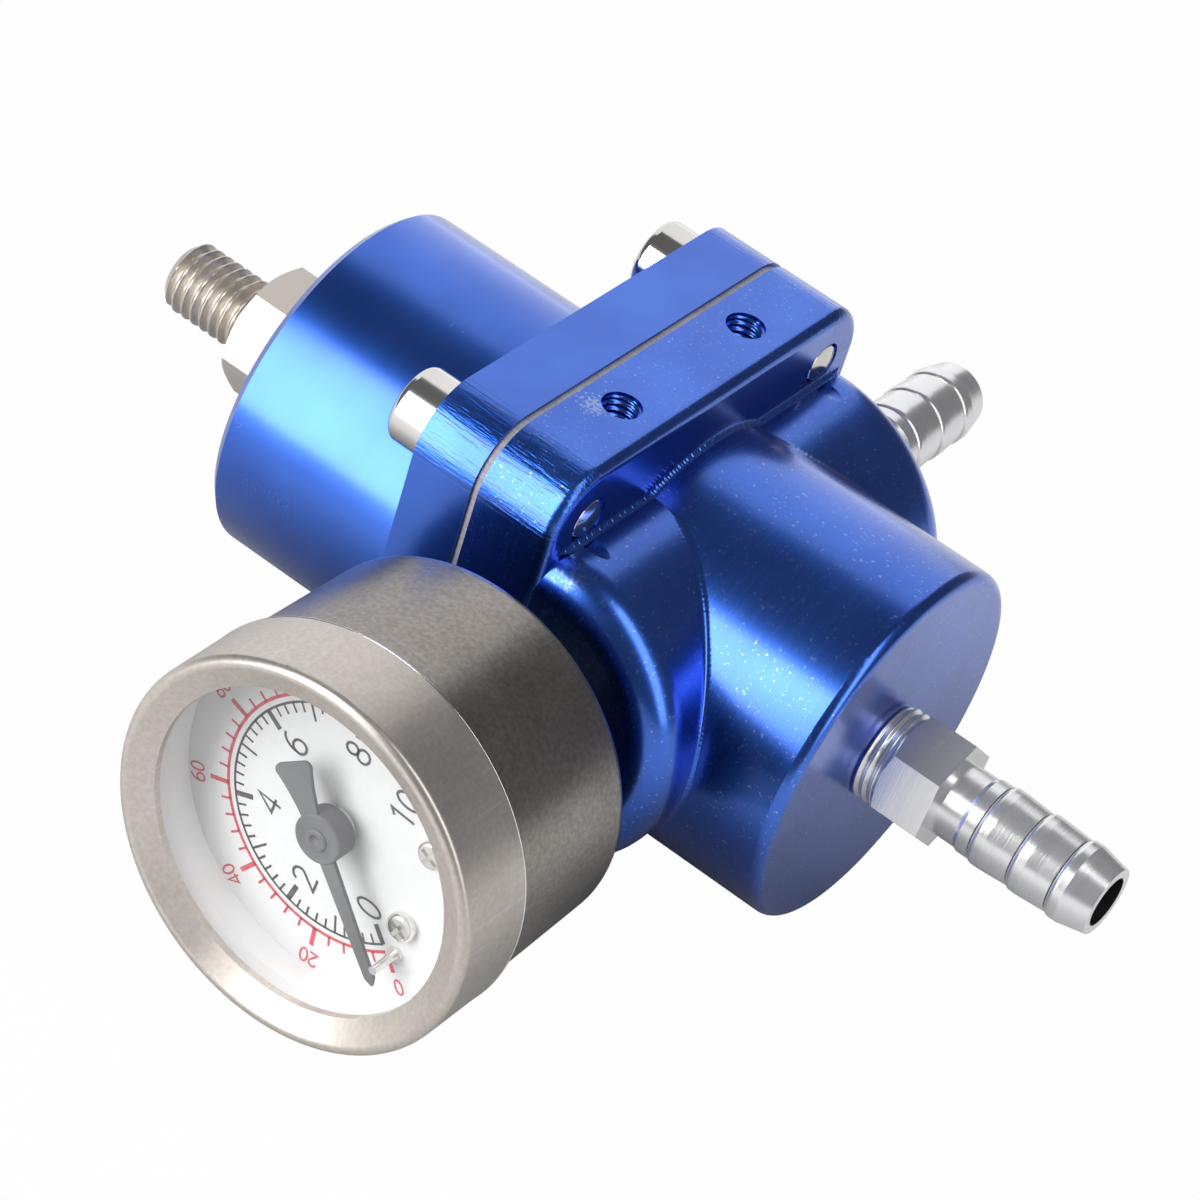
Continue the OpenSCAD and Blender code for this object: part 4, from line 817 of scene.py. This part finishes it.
def studio_floor():
    """Plain white floor under the part. The camera and rays through glass see it nearly plain white; mirror rays
    see it half so, with painted shade that darkens it under the part and close to it; the rest of each mix is the lit
    floor, which keeps the part's shadow."""
    half, dark_reach, dark_middle = 3.0, 100 * MM, 25 * MM
    z = cad_box[0][2]
    floor = mesh_piece("studio_floor", [(-half, -half, z), (half, -half, z), (half, half, z), (-half, half, z)],
                       [(0, 1, 2, 3)])
    m, t, shader = finish("studio_floor_white", roughness=0.8)
    grain = use(t, GRAIN, Scale=40.0)
    t.links.new(tint(t, grain["Cloud"], (0.80, 0.80, 0.80, 1), (0.84, 0.84, 0.84, 1)), shader.inputs["Base Color"])
    rays = put(t, "ShaderNodeLightPath").outputs
    place = part_place(t)
    away = vector(t, "DISTANCE", place, (0, 0, z), "Value")
    # Painted shade: the floor's glow for mirror rays is dimmed under and close to the part, in place of the part's
    # shadow.
    near = spread(t, away, dark_reach, dark_middle)
    strength = calc(t, "SUBTRACT", 1.0, calc(t, "MULTIPLY", rays["Is Glossy Ray"], near))
    glow = put(t, "ShaderNodeEmission", {"Color": (1, 1, 1, 1), "Strength": strength}).outputs[0]
    plain = calc(t, "MAXIMUM", calc(t, "MULTIPLY", rays["Is Camera Ray"], 0.985),
                 calc(t, "MULTIPLY", rays["Is Glossy Ray"], 0.55))
    plain = calc(t, "MAXIMUM", plain, calc(t, "MULTIPLY", rays["Is Transmission Ray"], 0.9))
    mix = put(t, "ShaderNodeMixShader", {0: plain, 1: shader.outputs[0], 2: glow})
    t.links.new(mix.outputs[0], t.nodes["Material Output"].inputs["Surface"])
    floor.data.materials.append(m)


def studio_world():
    """Surroundings: white where the camera or glass sees them, and to everything else a dim room."""
    world = bpy.data.worlds.new("studio_world")
    bpy.context.scene.world = world
    world.use_nodes = True
    t = world.node_tree
    rays = put(t, "ShaderNodeLightPath").outputs
    white = calc(t, "MAXIMUM", rays["Is Camera Ray"], rays["Is Transmission Ray"])
    t.links.new(tint(t, white, (0.125, 0.125, 0.135, 1), (1, 1, 1, 1)), t.nodes["Background"].inputs["Color"])


def softbox(name, way, distance, width, height, radiance):
    """Rectangular lamp at a direction and distance from the part, facing it, with its power set from the
    radiance of its face: power = pi * area * radiance."""
    way = np.array(way, float) / np.linalg.norm(way)
    lamp = bpy.data.lights.new(name, "AREA")
    lamp.shape = "RECTANGLE"
    lamp.size, lamp.size_y = width, height
    lamp.energy = np.pi * width * height * radiance
    piece = bpy.data.objects.new(name, lamp)
    bpy.context.scene.collection.objects.link(piece)
    right = np.cross([0, 0, 1], way)
    right /= np.linalg.norm(right)
    turn = np.eye(4)
    turn[:3, 0], turn[:3, 1], turn[:3, 2] = right, np.cross(way, right), way
    turn[:3, 3] = np.array(LAMP_AIM) + way * distance
    piece.matrix_world = Matrix(turn.tolist())
    piece.visible_camera = False


def photo_camera():
    """Camera at the photograph's place, turn and lens, found by a fit of the part's edges."""
    data = bpy.data.cameras.new("photo_camera")
    data.sensor_width, data.lens = 36.0, 148.677
    data.clip_start, data.clip_end = 0.01, 20.0
    camera = bpy.data.objects.new("photo_camera", data)
    bpy.context.scene.collection.objects.link(camera)
    camera.matrix_world = Matrix(((0.776970, -0.533648, 0.333972, 0.167449),
                                  (0.579739, 0.399731, -0.710013, -0.357656),
                                  (0.245398, 0.745275, 0.619955, 0.280929),
                                  (0, 0, 0, 1)))
    bpy.context.scene.camera = camera


studio_floor()
studio_world()
softbox("front_softbox", (-0.40, -0.81, 0.38), 0.36, 0.15, 0.36, 5.4)
softbox("far_panel", (-0.58, 0.68, 0.46), 0.42, 0.46, 0.56, 0.85)
softbox("right_strip", (0.76, -0.20, 0.62), 0.42, 0.15, 0.60, 2.4)
photo_camera()
bpy.context.scene.view_settings.view_transform = "Standard"
